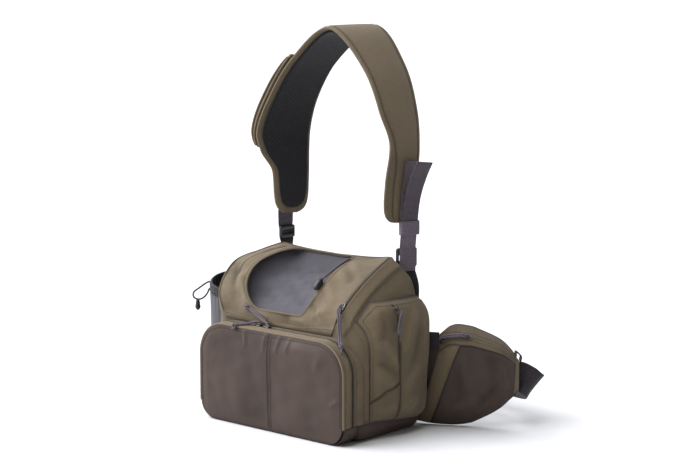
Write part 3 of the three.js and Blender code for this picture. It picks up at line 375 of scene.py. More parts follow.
Finish = namedtuple("Finish", "material slot")
KHAKI = Finish(woven("khaki_cloth", (92, 79, 60), (115, 101, 79), 0.00085), "khaki_cloth")
BROWN = Finish(coated("brown_coated_cloth", (58, 46, 40), (73, 60, 53)), "brown_coated_cloth")
GRAY = Finish(woven("gray_cloth", (77, 75, 80), (94, 91, 97), 0.0006, 0.25), "gray_cloth")
# A darker copy of the gray cloth for the trough: painted shade of the recess.
SHADED_TROUGH = Finish(woven("shaded_trough_cloth", (67, 65, 70), (83, 80, 86), 0.0006, 0.25), "gray_cloth")
WEBBING = Finish(webbed("webbing", (84, 75, 84), (104, 94, 104)), "webbing")
BELT_WEBBING = Finish(webbed("belt_webbing", (36, 30, 36), (50, 43, 50)), "webbing")
BLACK_WEBBING = Finish(webbed("black_webbing", (24, 22, 26), (36, 33, 38)), "webbing")
ANCHOR_WEBBING = Finish(BLACK_WEBBING.material, "black_cloth")
# A darker copy of the webbing for the strap's tail and the left webbing: painted shade.
SHADED_WEBBING = Finish(webbed("shaded_webbing", (60, 52, 60), (78, 69, 78)), "webbing")
MESH = Finish(meshed("black_mesh", (14, 12, 15), (34, 30, 36), 0.0038), "black_cloth")
PLASTIC = Finish(moulded("black_plastic", (20, 19, 21), (34, 32, 35)), "black_plastic")
TAPE = Finish(woven("zip_tape", (46, 39, 32), (62, 54, 44), 0.0006, 0.3), "zip_tape")
COIL = Finish(moulded("zip_coil", (46, 40, 36), (66, 59, 53), 0.45), "zip_tape")
METAL = Finish(moulded("slider_metal", (70, 66, 64), (128, 124, 120), 0.32, 0.9), "slider_metal")
CORD = Finish(braided("pull_cord", (70, 62, 70), (100, 90, 99)), "pull_cord")
RECESS_CORD = Finish(CORD.material, "gray_cloth")
ELASTIC = Finish(braided("elastic_cord", (50, 46, 51), (80, 75, 82)), "elastic_cord")
THREAD = Finish(braided("thread", (84, 73, 55), (112, 99, 78), 0.0006), "khaki_cloth")
DARK_THREAD = Finish(braided("dark_thread", (46, 40, 39), (66, 58, 57), 0.0006), "brown_coated_cloth")


# Meshes
def closing(grid, closed_u, closed_v):
    """Repeats a grid's first row or column at its end where it closes on itself."""
    grid = np.concatenate([grid, grid[:1]], 0) if closed_u else grid
    return np.concatenate([grid, grid[:, :1]], 1) if closed_v else grid


def cloth_map(points):
    """Cloth coordinates in metres: the mean length run along each way of a grid."""
    along = np.linalg.norm(np.diff(points, axis=0), axis=-1).mean(1)
    across = np.linalg.norm(np.diff(points, axis=1), axis=-1).mean(0)
    u, v = (np.r_[0, np.cumsum(run)] * MM for run in (along, across))
    return vec(u[:, None], v[None, :])


DOME = np.array([0.95, 0.75, 0.4])


class Skin:
    """Grids of points gathered into one mesh."""

    def __init__(self):
        self.points, self.shades, self.count = [], [], 0
        self.faces, self.maps = {3: [], 4: []}, {3: [], 4: []}

    def add(self, points, shade):
        flat = points.reshape(-1, 3)
        self.points.append(flat)
        self.shades.append(np.broadcast_to(shade, points.shape[:-1]).reshape(-1))
        self.count += len(flat)
        return np.arange(self.count - len(flat), self.count).reshape(points.shape[:-1])

    def face(self, corners, maps=None):
        sides = corners.shape[-1]
        maps = np.zeros((*corners.shape, 2)) if maps is None else maps
        self.faces[sides].append(corners.reshape(-1, sides))
        self.maps[sides].append(maps.reshape(-1, sides, 2))

    def grid(self, points, shade=1.0, closed_u=False, closed_v=False):
        index = closing(self.add(points, shade), closed_u, closed_v)
        grids = index, cloth_map(closing(points, closed_u, closed_v))
        self.face(*(np.stack([g[:-1, :-1], g[1:, :-1], g[1:, 1:], g[:-1, 1:]], 2) for g in grids))
        return index

    def capped(self, loops, shade=1.0):
        """A row of closed loops, with both ends filled."""
        index = self.grid(loops, shade, closed_v=True)
        for k, step in ((0, 1), (-1, -1)):
            middle = self.add(loops[k].mean(0)[None], 1.0)[0]
            a, b = (index[k][:-1], index[k][1:])[::step]
            self.face(np.stack([np.full_like(a, middle), a, b], -1))
        return self

    def sweep(self, line, wide, out, section, size=1.0):
        """Carries a closed section, points of (wide, out), along a line."""
        size = np.asarray(size, float)
        size = np.broadcast_to(size if size.ndim == 2 else size.reshape(-1, 1), (len(line), 2))
        section = section[None] * size[:, None]
        return self.capped(line[:, None] + wide[:, None] * section[..., :1] + out[:, None] * section[..., 1:])

    def tube(self, line, radius, sides):
        """A round cord along points, with domed ends."""
        line = np.asarray(line, float)
        radius = np.broadcast_to(np.asarray(radius, float), (len(line),))
        along = unit(np.gradient(line, axis=0))
        wide = [unit(np.cross(along[0], (0.31, 0.2, 0.93)))]
        for direction in along[1:]:
            wide.append(square_to(wide[-1], direction))
        start = line[0] - along[0] * (radius[0] * DOME)[:, None]
        end = line[-1] + along[-1] * (radius[-1] * DOME)[:, None]
        narrow = np.sqrt(1 - DOME**2)
        sizes = np.r_[radius[0] * narrow, radius, (radius[-1] * narrow)[::-1]]
        ends = len(DOME)
        along, wide = (np.pad(w, ((ends, ends), (0, 0)), "edge") for w in (along, np.array(wide)))
        turn = turns(sides)
        line = np.vstack([start, line, end[::-1]])
        return self.sweep(line, wide, np.cross(along, wide), vec(np.cos(turn), np.sin(turn)), sizes)

    def wall(self, outer, inner, closed_u=False, shade=1.0):
        """A cloth wall between two grids, with a rolled rim."""
        n, m = outer.shape[:2]

        def rolled(k, beside):
            a, b, away = outer[:, k], inner[:, k], outer[:, k] - outer[:, beside]
            return ((a + b) / 2 + unit(away) * np.linalg.norm(a - b, axis=-1, keepdims=True) / 2)[:, None]

        shade = np.broadcast_to(shade, (n, m))
        shade = np.concatenate([shade, shade[:, -1:], shade[:, ::-1], shade[:, :1]], 1)
        loop = np.concatenate([outer, rolled(-1, -2), inner[:, ::-1], rolled(0, 1)], 1)
        index = self.grid(loop, shade, closed_u, True)
        if closed_u:
            return self
        j = np.arange(m - 1)
        for row, step in ((index[0], 1), (index[-1], -1)):
            quads = np.stack([row[j], row[j + 1], row[2 * m - j - 1], row[2 * m - j]], -1)
            tris = np.array([row[[m - 1, m, m + 1]], row[[2 * m, 2 * m + 1, 0]]])
            self.face(quads[:, ::step])
            self.face(tris[:, ::step])
        return self

    def build(self, name, finish, *nodes):
        """Makes the object, facing outwards, riding on the pack in place of its CAD nodes."""
        points = np.concatenate(self.points) * MM
        faces = {k: np.concatenate(f) for k, f in self.faces.items() if f}
        maps = {k: np.concatenate(self.maps[k]) for k in faces}
        volume = 0.0
        for corners in faces.values():
            p = points[corners]
            for k in range(2, corners.shape[1]):
                volume += np.sum(p[:, 0] * np.cross(p[:, k - 1], p[:, k]))
        if volume < 0:
            faces, maps = ({k: f[:, ::-1] for k, f in group.items()} for group in (faces, maps))
        mesh = bpy.data.meshes.new(name)
        mesh.from_pydata(points.tolist(), [], [f for k in faces for f in faces[k].tolist()])
        layer = mesh.uv_layers.new(name="cloth")
        layer.data.foreach_set("uv", np.concatenate([maps[k].ravel() for k in faces]))
        shade = mesh.attributes.new("shade", "FLOAT", "POINT")
        shade.data.foreach_set("value", np.concatenate(self.shades).astype(np.float32))
        mesh.polygons.foreach_set("use_smooth", np.ones(len(mesh.polygons), bool))
        mesh.materials.append(finish.material)
        mesh.update()
        made = bpy.data.objects.new(name, mesh)
        scene.collection.objects.link(made)
        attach(made, "root")
        if nodes:
            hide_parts(*nodes)
        return made


def tube(name, finish, line, radius, sides, *nodes):
    return Skin().tube(line, radius, sides).build(name, finish, *nodes)


def between(outer, inner, us, vs, closed_u=False, shade=1.0):
    """A wall between two surfaces of (u, v)."""
    u, v = grid_of(us, vs)
    return Skin().wall(outer(u, v), inner(u, v), closed_u, shade)


HOLLOW_SHADE, HOLLOW_LEVEL, HOLLOW_MOST = 0.14, 0.8, 3.5


class Cloth:
    """A surface of (u, v) with folds, and the side of it that shows."""

    def __init__(self, base, inside, height=None, shade=None):
        self.base, self.height, self.darker, self.side = base, height, shade, 1.0
        u, v = grid_of(np.linspace(0.2, 0.8, 5), np.linspace(0.2, 0.8, 5))
        facing = np.sum(self.normal(u, v) * (base(u, v) - np.array(inside, float)))
        self.side = 1.0 if facing > 0 else -1.0

    def normal(self, u, v):
        step = 2e-3
        low, high = clamp(v - step), clamp(v + step)
        along = self.base(u + step, v) - self.base(u - step, v)
        return self.side * unit(np.cross(along, self.base(u, high) - self.base(u, low)))

    def __call__(self, u, v, lift=0.0):
        points = self.base(u, v)
        height = 0 if self.height is None else self.height(points, u, v)
        return points + self.normal(u, v) * (np.asarray(height) + lift)[..., None]

    def shade(self, u, v):
        """Darker in seams and in the hollows between folds."""
        points = self.base(u, v)
        tone = np.ones_like(u) if self.darker is None else self.darker(points, u, v)
        if self.height is not None:
            hollow = clamp(HOLLOW_LEVEL - self.height(points, u, v), 0, HOLLOW_MOST)
            tone = tone - HOLLOW_SHADE * hollow
        return clamp(tone)

    def skin(self, us, vs, thickness, closed_u=False):
        u, v = grid_of(us, vs)
        outer = self(u, v)
        return Skin().wall(outer, outer - self.normal(u, v) * thickness, closed_u, self.shade(u, v))


# Stitches, each a short arched thread
STITCHES, DARK_STITCHES = Skin(), Skin()
STITCH_PITCH, STITCH_RADIUS, STITCH_SIDES = 3.4, 0.36, 5
STITCH_SHARES, STITCH_RISE = np.array([0.14, 0.5, 0.86]), np.array([0.05, 0.35, 0.05])
STITCH_ENDS = np.array([(0, 1, 2), (0, 2, 3), (0, 3, 4)])


def stitch(cloth, us, vs, into=STITCHES):
    """Sews a row of thread along a line of (u, v) on a cloth."""
    us, vs = np.broadcast_arrays(np.asarray(us, float), np.asarray(vs, float))
    line, normals = cloth(us, vs, 0.1), cloth.normal(us, vs)
    run = run_along(line)
    count = int(run[-1] // STITCH_PITCH)
    at = (np.arange(count)[:, None] + STITCH_SHARES) * run[-1] / count
    places, up = (
        np.stack([np.interp(at, run, w[:, k]) for k in range(3)], -1) for w in (line, normals)
    )
    places = places + up * STITCH_RISE[:, None]
    along = unit(places[:, 2] - places[:, 0])
    wide = unit(np.cross(along, up[:, 1]))
    turn = turns(STITCH_SIDES)[:, None]
    ring = wide[:, None] * np.cos(turn) + np.cross(wide, along)[:, None] * np.sin(turn)
    index = into.add(places[:, :, None] + STITCH_RADIUS * ring[:, None], 1.0)
    loop = np.concatenate([index, index[..., :1]], -1)
    into.face(np.stack([loop[:, :-1, :-1], loop[:, 1:, :-1], loop[:, 1:, 1:], loop[:, :-1, 1:]], -1))
    into.face(index[:, 0][:, STITCH_ENDS])
    into.face(index[:, 2][:, STITCH_ENDS[:, ::-1]])


# The pack's driving sizes
CLOTH = 2.2
BODY_HALF, BODY_FRONT, BODY_BACK, BODY_RADIUS = 135, -54, 83, 18
SIDE_LEAN, BACK_LEAN = 55, 85
RIM_HALF, RIM_BACK, RIM_RADIUS, RIM_SWELL, RIM_NARROW = 103, 55, 6, 20, 8
RIDGE, RIDGE_SAG, LID_DROP, LID_CROWN, LID_START, LID_ROLL = 236, 6.5, 95, 4, 1.2, 2.2
LID_DEPTH = RIM_BACK - BODY_FRONT
LEFT_FULLNESS, LEFT_REACH = 21, 0.55
ZIP_WIDTH = 4.6
LID_EDGE = CLOTH + 3 * GAP + ZIP_WIDTH
LID_BACK_SHARE = (CLOTH + 2 * GAP) / LID_DEPTH
MIDDLE_Y = (BODY_FRONT + BODY_BACK) / 2
BODY_INSIDE = (0, 10, 90)
PACKED_OUT, PACKED_WAY = 9, np.array([-0.75, -0.45, 0.45])
PACKED_SIDE, PACKED_FROM, PACKED_FADE = np.array([(-1, -1, 1), (70, -24, 138), (55, 40, 32)])
BOOT_FRONT, BOOT_REAR, BOOT_CLOTH, BOOT_TURN = 26, 15, 2.4, 0.6

side_out = smooth_table([(0, 0), (0.22, 0.42), (0.5, 0.8), (0.78, 0.96), (1, 1)])
back_out = smooth_table([(0, 0), (0.22, 0.24), (0.5, 0.66), (0.78, 0.95), (1, 1)])
boot_inset = smooth_table([(0, 14), (1.2, 9), (5, 4), (14, 0.6), (26, 0)])


def lid_height(share):
    """Nearly flat behind, and rolling over steeply at the front."""
    return RIDGE - LID_DROP * (1 - (1 - clamp(share) ** LID_START) ** (1 / LID_ROLL))


def ridge_sag(x, share):
    return RIDGE_SAG * (1 - (x / RIM_HALF) ** 2) * (1 - share) ** 2


def rim_half(share, side):
    """Half the lid's width; the left half is fuller towards the front."""
    half = RIM_HALF + RIM_SWELL * share * (1 - share) - RIM_NARROW * share**10
    return half + np.where(np.asarray(side) < 0, LEFT_FULLNESS * ease(share / LEFT_REACH), 0.0)


def packed_out(points):
    """Pushes the left front shoulder out, where the pack is stuffed full."""
    amount = ease((points * PACKED_SIDE - PACKED_FROM) / PACKED_FADE).prod(-1, keepdims=True)
    return points + PACKED_OUT * amount * PACKED_WAY


def lid_point(x, share):
    crown = LID_CROWN * (1 - (x / rim_half(share, x)) ** 2) * np.sin(math.pi * share)
    return packed_out(vec(x, RIM_BACK - LID_DEPTH * share, lid_height(share) - ridge_sag(x, share) + crown))


CORNERS = np.array([(1, -1), (1, 1), (-1, 1), (-1, -1), (1, -1)], float)
SIDE_RUN = BODY_BACK - BODY_FRONT - 2 * BODY_RADIUS
WIDE_RUN = 2 * (BODY_HALF - BODY_RADIUS)
CORNER_RUN = QUARTER * BODY_RADIUS
RUNS = np.array([SIDE_RUN, CORNER_RUN, WIDE_RUN, CORNER_RUN] * 2)
MARKS = np.r_[0, np.cumsum(RUNS)] / RUNS.sum()


def leg_at(place, marks):
    """The leg of an outline that a place lies on, and the share of it; odd legs are corners."""
    leg = np.clip(np.searchsorted(marks, place, side="right") - 1, 0, 7)
    t = (place - marks[leg]) / (marks[leg + 1] - marks[leg])
    return leg, t, (leg // 2 + leg % 2 * t) * QUARTER


def body_station(u):
    """Corner and outward direction at a share of the way round the wall, from the right's front edge."""
    leg, t, angle = leg_at(np.asarray(u, float) % 1, MARKS)
    quarter = leg // 2
    corner = lerp(CORNERS[quarter], CORNERS[quarter + 1], np.where(leg % 2, 1, t)[..., None])
    return corner[..., 0], corner[..., 1], np.cos(angle), np.sin(angle)


def rim_point(station, inset=0.0):
    cx, cy, nx, ny = station
    seam = (RIM_BACK + BODY_FRONT) / 2 + cy * (LID_DEPTH / 2 - RIM_RADIUS) + RIM_RADIUS * ny
    share = clamp((RIM_BACK - seam) / LID_DEPTH)
    x = cx * (rim_half(share, cx) - RIM_RADIUS) + (RIM_RADIUS - inset) * nx
    return vec(x, seam - inset * ny, lid_height(share) - ridge_sag(x, share) - GAP)


def body_point(station, height, inset=0.0):
    """A place on the wall, which stands out from the rim as it goes down."""
    cx, cy, nx, ny = station
    inset = inset + boot_inset(height)
    rim = rim_point(station, inset)
    x = cx * (BODY_HALF - BODY_RADIUS) + (BODY_RADIUS - inset) * nx
    y = MIDDLE_Y + cy * SIDE_RUN / 2 + (BODY_RADIUS - inset) * ny
    back = np.sqrt(np.maximum(0, ny))
    drop = clamp((rim[..., 2] - height) / lerp(SIDE_LEAN, BACK_LEAN, back))
    out = lerp(side_out(drop), back_out(drop), back)
    return packed_out(vec(lerp(rim[..., 0], x, out), lerp(rim[..., 1], y, out), height))


def boot_line(y):
    """Height of the seam between the boot and the wall, lower towards the back."""
    return lerp(BOOT_FRONT, BOOT_REAR, ease((y - BODY_FRONT) / (BODY_BACK - BODY_FRONT)))


def boot_top(station):
    return boot_line(MIDDLE_Y + station[1] * SIDE_RUN / 2)


def round_shares():
    """Shares round the wall, closer together at its corners and at the lid's front roll."""
    backwards, forwards = 1 - np.sin((1 - even(64, True)) * QUARTER), np.sin(even(64, True) * QUARTER)
    corner, wide = even(14, True), even(90, True)
    legs = [backwards, corner, wide, corner, forwards, corner, wide, corner]
    return np.concatenate([lerp(MARKS[k], MARKS[k + 1], leg) for k, leg in enumerate(legs)])


ROUND = round_shares()

# Wall of the main compartment, with a guard along its zips
GUARD = 12


def shell_base(u, v):
    station = body_station(u)
    return body_point(station, lerp(boot_top(station) + GAP, rim_point(station)[..., 2], v))


def under_guard(points, u):
    """How far a place on the wall is below the rim and the guard, and how far it faces right."""
    station = body_station(u)
    below = rim_point(station)[..., 2] - points[..., 2]
    return below, below - GUARD, station[2]


def shell_height(points, u, v):
    _, below, right = under_guard(points, u)
    guard = 0.9 * ease(-below / 2.5) * ease(3 * np.abs(right) - 1)
    pocket = ease((points[..., 0] - 100) / 20) * ease((190 - points[..., 2]) / 12)
    waves = 1.5 * ripples(points, 70, 4, (1, 1, 0.5)) + 0.5 * ripples(points, 28, 9, (1, 1, 0.6))
    return guard + waves * ease(5 * v) * ease(below / 25) * (1 - pocket)


def shell_shade(points, u, v):
    under_rim, below, right = under_guard(points, u)
    seam = bell(below, 1.6) * ease(3 * np.abs(right) - 1)
    shadow = ease(below / 3) * bell(below, 30) * ease(right)
    return 1 - 0.5 * seam - 0.22 * shadow - 0.45 * bell(under_rim, 2.0) - 0.3 * (1 - ease(v * 14))


shell = Cloth(shell_base, BODY_INSIDE, shell_height, shell_shade)
shell.skin(ROUND, even(96), CLOTH, True).build("main_shell_cloth", KHAKI, "main_shell")


# Boot under the body, closed by its floor
def boot_surface(inset):
    def base(u, v):
        station = body_station(u)
        edge = body_point(station, boot_top(station) * (1 - clamp(v / BOOT_TURN)) ** 1.6, inset)
        inward = 0.99 * clamp((v - BOOT_TURN) / (1 - BOOT_TURN))
        points = lerp(edge, np.array([0, MIDDLE_Y, 0]), inward[..., None])
        points[..., 2] += inset * ease((v - 0.2) / 0.4)
        return points

    return base


boot_shade = 1 - 0.35 * (1 - ease(9 * even(44)))
between(boot_surface(0.0), boot_surface(BOOT_CLOTH), ROUND, even(44), True, boot_shade).build(
    "bottom_boot_cloth", BROWN, "bottom_boot"
)

# Lid, from the trough's mouth out to its seams
MOUTH_LEFT, MOUTH_RIGHT, MOUTH_BACK, MOUTH_FRONT = -0.76, 0.43, 0.05, 0.978
MOUTH_ROUND, MOUTH_SQUARE = 4.0, 11.0
MOUTH_MIDDLE = (MOUTH_LEFT + MOUTH_RIGHT) / 2, (MOUTH_BACK + MOUTH_FRONT) / 2
LID_RIGHT, LID_LEFT, LID_CLOTH = 1.042, 1.055, 2.5


def on_mouth(wide, deep):
    """The lid's own shares at a place in the mouth, which reaches from -1 to 1 both ways."""
    across = lerp(MOUTH_LEFT, MOUTH_RIGHT, 0.5 + 0.5 * wide)
    return across, lerp(MOUTH_BACK, MOUTH_FRONT, 0.5 + 0.5 * deep)


def on_lid(across, share):
    return lid_point(across * (rim_half(share, across) - LID_EDGE), share)


def lid_base(u, v):
    """Round the mouth with u, and from the mouth out to the lid's edge with v."""
    wide, deep = np.cos(FULL_TURN * u), np.sin(FULL_TURN * u)
    power = lerp(MOUTH_ROUND, MOUTH_SQUARE, ease(0.5 + 0.5 * wide))
    size = (np.abs(wide) ** power + np.abs(deep) ** power) ** (1 / power)
    across, share = on_mouth(wide / size, deep / size)
    x, y = MOUTH_MIDDLE
    dx, ds = across - x, share - y
    with np.errstate(divide="ignore"):
        reach = np.minimum(
            np.where(dx > 0, LID_RIGHT - x, LID_LEFT + x) / np.abs(dx),
            np.where(ds > 0, 1 - y, y - LID_BACK_SHARE) / np.abs(ds),
        )
    out = lerp(1, reach, 1 - (1 - v) ** 1.5)
    return on_lid(x + dx * out, clamp(y + ds * out, LID_BACK_SHARE, 1))


def lid_fold(start, end, height, width):
    """A soft fold on the lid between two places given as (across, share)."""
    middle = [(a + b) / 2 for a, b in zip(start, end)]
    return [on_lid(*place) for place in (start, middle, end)], height, width


LID_FOLDS = [lid_fold(*row) for row in (
    ((-0.93, 0.16), (-0.9, 0.7), 2.9, 7), ((-0.97, 0.6), (-0.84, 0.97), -2.6, 5),
    ((-0.88, 0.72), (-0.62, 0.99), 2.9, 6), ((-0.55, 0.985), (-0.26, 0.996), 1.6, 4),
    ((0.44, 0.9), (0.7, 0.99), -2.1, 4), ((0.47, 0.3), (0.9, 0.62), -2.2, 6),
    ((0.45, 0.68), (0.86, 0.86), 3.0, 6), ((0.5, 0.5), (0.8, 0.62), 2.1, 7),
    ((0.52, 0.97), (0.84, 0.93), 2.6, 6), ((0.55, 0.22), (0.82, 0.42), 2.2, 9),
    ((0.1, 0.99), (0.45, 0.992), 1.6, 4),
)]
LID_SEAM = on_lid(np.full(40, -0.9), np.linspace(0.1, 0.9, 40))


def lid_seam(points, width):
    """The left seam's groove, which fades out towards the front."""
    far, along = near_line(points, LID_SEAM)
    return bell(far, width) * ease(3 - 3 * along)


def lid_height_map(points, u, v):
    waves = 1.3 * ripples(points, 60, 12) + 0.5 * ripples(points, 24, 5) + folds(points, LID_FOLDS)
    edges = 1.4 * bell(v, 0.16) + 0.9 * ease((v - 0.9) / 0.06)
    return waves * free(v, 6) + edges - 1.6 * lid_seam(points, 2.4)


def lid_shade(points, u, v):
    return 1 - 0.45 * bell(1 - v, 0.025) - 0.3 * bell(v, 0.03) - 0.35 * lid_seam(points, 1.8)


lid = Cloth(lid_base, (0, 0, 60), lid_height_map, lid_shade)
lid.skin(even(320, True), even(40), LID_CLOTH, True).build("lid_cloth", KHAKI, "lid")

# Gray trough under the mouth, in the darker copy of the gray cloth that paints the recess's shade
TROUGH_DEPTH, TROUGH_MARGIN = 24, 1.045


def trough_base(u, v):
    a, b = lerp(-1, 1, u), lerp(-1, 1, v)
    across, share = on_mouth(TROUGH_MARGIN * a, TROUGH_MARGIN * b)

    def surface(p, q):
        return on_lid(across + p, clamp(share + q, 0.01, 0.999))

    normal = np.cross(surface(1e-3, 0) - surface(-1e-3, 0), surface(0, 1e-3) - surface(0, -1e-3))
    dip = LID_CLOTH + 2 * GAP + TROUGH_DEPTH * (1 - np.abs(a) ** 6) * (1 - np.abs(b) ** 6)
    return surface(0, 0) + unit(normal) * dip[..., None]


def trough_height(points, u, v):
    return (1.2 * ripples(points, 40, 21) + 0.5 * ripples(points, 18, 22)) * free(u, 6) * free(v, 6)


trough = Cloth(trough_base, (0, 0, 0), trough_height)
trough.skin(even(80), even(80), CLOTH).build("top_recess_cloth", SHADED_TROUGH, "top_recess")

# Zips, each a woven tape with two rows of small teeth along its middle
TAPE_CLOTH, COIL_PITCH = 1.0, 1.5
TOOTH_ACROSS, TOOTH_LIFT = np.array([0.02, 0.12, 0.24]), np.array([0.35, 0.55, 0.2])
TOOTH_RADIUS, TOOTH_SIDES = [0.42, 0.45, 0.4], 5


def zipper(node, tape, length):
    """Covers a tape of (u across, v along) that is length long."""
    tape.skin(even(9), even(90), TAPE_CLOTH).build(node + "_tape", TAPE, node)
    coil = Skin()
    count = int(length / COIL_PITCH)
    for k in range(count):
        for side in (-1, 1):
            v = np.full(3, (k + 0.5 + 0.25 * side) / count)
            coil.tube(tape(0.5 + side * TOOTH_ACROSS, v, TOOTH_LIFT), TOOTH_RADIUS, TOOTH_SIDES)
    coil.build(node + "_tape_coil", COIL)


LID_TAPE_START, LID_TAPE_END, LID_TAPE_LENGTH = 0.07, 0.93, 175
LEFT_TAPE_SHIFT = np.array([1.5, 2.6, -2.6])


def lid_tape(side):
    """The tape beside the lid; the left one lies under the lid's overlapping edge."""
    under = LEFT_TAPE_SHIFT if side < 0 else 0

    def base(u, v):
        share = lerp(LID_TAPE_START, LID_TAPE_END, np.sin(clamp(v) * QUARTER))
        edge = rim_half(share, side) - CLOTH - 2 * GAP
        return lid_point(side * (edge - ZIP_WIDTH * u), share) + under

    return Cloth(base, (0, 0, 0))


for side, name in ((-1, "lid_zipper_left"), (1, "lid_zipper_right")):
    zipper(name, lid_tape(side), LID_TAPE_LENGTH)

# Front pocket
POCKET_HALF, POCKET_TOP, TOP_RADIUS, LOW_RADIUS, POCKET_FACE, POCKET_CROWN = 135, 139, 46, 26, -83, 5
PANEL_CLOTH = 2.4
PANEL_BACK = POCKET_FACE + PANEL_CLOTH + GAP
WELT_BACK = PANEL_BACK + 14
FRONT_ZIP_BACK = WELT_BACK + GAP + ZIP_WIDTH
POCKET_BACK = BODY_FRONT - GAP
POCKET_INSIDE = (0, -66, 70)
TOP_X, HIGH_Z = POCKET_HALF - TOP_RADIUS, POCKET_TOP - TOP_RADIUS
LOW_X, LOW_Z = POCKET_HALF - LOW_RADIUS, LOW_RADIUS
TOP_TURN, LOW_TURN, SIDE_RISE = QUARTER * TOP_RADIUS, QUARTER * LOW_RADIUS, HIGH_Z - LOW_Z
POCKET_RUNS = [SIDE_RISE, TOP_TURN, 2 * TOP_X, TOP_TURN, SIDE_RISE, LOW_TURN, 2 * LOW_X, LOW_TURN]
POCKET_MARKS = np.r_[0, np.cumsum(POCKET_RUNS)]
OVER_TOP = POCKET_MARKS[5]
TOP_RIGHT, TOP_LEFT = (TOP_X, HIGH_Z), (-TOP_X, HIGH_Z)
LOW_RIGHT, LOW_LEFT = (LOW_X, LOW_Z), (-LOW_X, LOW_Z)
POCKET_STARTS = np.array([(TOP_X, LOW_Z)] + 2 * [TOP_RIGHT] + 2 * [TOP_LEFT] + 2 * [LOW_LEFT] + [LOW_RIGHT])
POCKET_ENDS = np.array(2 * [TOP_RIGHT] + 2 * [TOP_LEFT] + [(-TOP_X, LOW_Z), LOW_LEFT] + 2 * [LOW_RIGHT])


def pocket_point(run, y, inset=0.0):
    """A point on the pocket's outline, run millimetres from the right side's foot over the top."""
    leg, t, angle = leg_at(np.asarray(run, float) % POCKET_MARKS[-1], POCKET_MARKS)
    radius = np.where(leg >= 5, LOW_RADIUS, TOP_RADIUS) - inset
    centre = lerp(POCKET_STARTS[leg], POCKET_ENDS[leg], t[..., None])
    return vec(centre[..., 0] + radius * np.cos(angle), y, centre[..., 1] + radius * np.sin(angle))


def corner_half(radius, from_end):
    depth = np.maximum(0, radius - from_end)
    return POCKET_HALF - radius + np.sqrt(np.maximum(0, radius**2 - depth**2))


def panel_half(z):
    """Half the panel's width at a height, narrower in its rounded corners."""
    return np.minimum(corner_half(TOP_RADIUS, POCKET_TOP - z), corner_half(LOW_RADIUS, z))


PANEL_SEAM_X, PANEL_INSET, PANEL_FOOT, PANEL_SKIN = 2, 2.2, 1.8, 2.0
PANEL_HEIGHT = POCKET_TOP - PANEL_INSET - PANEL_FOOT
PANEL_FOLDS = [
    (((-47, -84, 139), (-43, -87, 112)), 2.0, 3.4), (((-6, -84, 139), (-9, -87, 108)), 1.9, 3.2),
    (((22, -84, 139), (14, -87, 110)), 1.9, 3.4), (((40, -84, 138), (34, -87, 112)), 1.7, 3.4),
    (((98, -84, 120), (84, -87, 96)), 1.4, 6), (((128, -83, 62), (112, -86, 54)), 1.8, 4),
    (((-128, -84, 100), (-100, -87, 84)), 1.2, 9),
]


def panel_base(u, v):
    up = 0.5 - 0.5 * np.cos(math.pi * clamp(v))
    x = lerp(-1, 1, u) * (panel_half(POCKET_TOP * up) - PANEL_INSET)
    dome = (1 - (x / POCKET_HALF) ** 4) * (1 - (2 * up - 1) ** 4)
    return vec(x, POCKET_FACE - POCKET_CROWN * dome, PANEL_FOOT + PANEL_HEIGHT * up)


def panel_edge(points):
    """How far places on the panel are from its edge and from its middle seam."""
    x, z = points[..., 0], points[..., 2]
    edge = np.minimum(panel_half(z) - np.abs(x), np.minimum(POCKET_TOP - z, z)) - PANEL_INSET
    return np.maximum(edge, 0), x - PANEL_SEAM_X


def panel_height(points, u, v):
    edge, seam = panel_edge(points)
    waves = 2.2 * ripples(points, 105, 31) + 0.6 * ripples(points, 38, 32)
    return folds(points, PANEL_FOLDS) + waves * ease(edge / 18) - 0.7 * bell(seam, 1.2) * ease(edge / 3)


def panel_shade(points, u, v):
    edge, seam = panel_edge(points)
    return 1 - 0.3 * bell(seam, 1.0) - 0.4 * bell(edge, 2.0)


panel = Cloth(panel_base, POCKET_INSIDE, panel_height, panel_shade)
panel.skin(even(190), even(100), PANEL_SKIN).build("front_panel_cloth", BROWN, "front_pocket_panel")


def zip_side_waves(points, u, v):
    return 0.45 * ripples(points, 26, 41, (1, 0.4, 1)) * free(v, 4)


def band_shade(points, u, v):
    return 1 - 0.55 * (bell(v, 0.1) + bell(1 - v, 0.1))


def pocket_band(front, back, inset=0.0, start=0.0, end=OVER_TOP, swell=0.0):
    def base(u, v):
        return pocket_point(lerp(start, end, u), lerp(front, back, v), inset)

    def height(points, u, v):
        loose = ease(points[..., 2] / 12)
        return (swell * (1 - (2 * v - 1) ** 2) + zip_side_waves(points, u, v)) * loose

    return Cloth(base, POCKET_INSIDE, height, band_shade)


FLARE, FLARE_STOP, FLARE_FADE, ZIP_COVER, ZIP_INSET, GUSSET_CLOTH = 12, 22, 40, 1.7, 1.5, 1.2


def gusset_base(u, v):
    """The gusset's straight sides run on over the body's rounded corner to the wall."""
    run = lerp(0, OVER_TOP, u)
    from_foot = np.minimum(run, OVER_TOP - run)
    flare = FLARE * ease((POCKET_MARKS[2] - FLARE_STOP - from_foot) / FLARE_FADE)
    y = lerp(FRONT_ZIP_BACK + GAP - ZIP_COVER, POCKET_BACK + flare, v)
    return pocket_point(run, y, -0.3 * flare / FLARE * v)


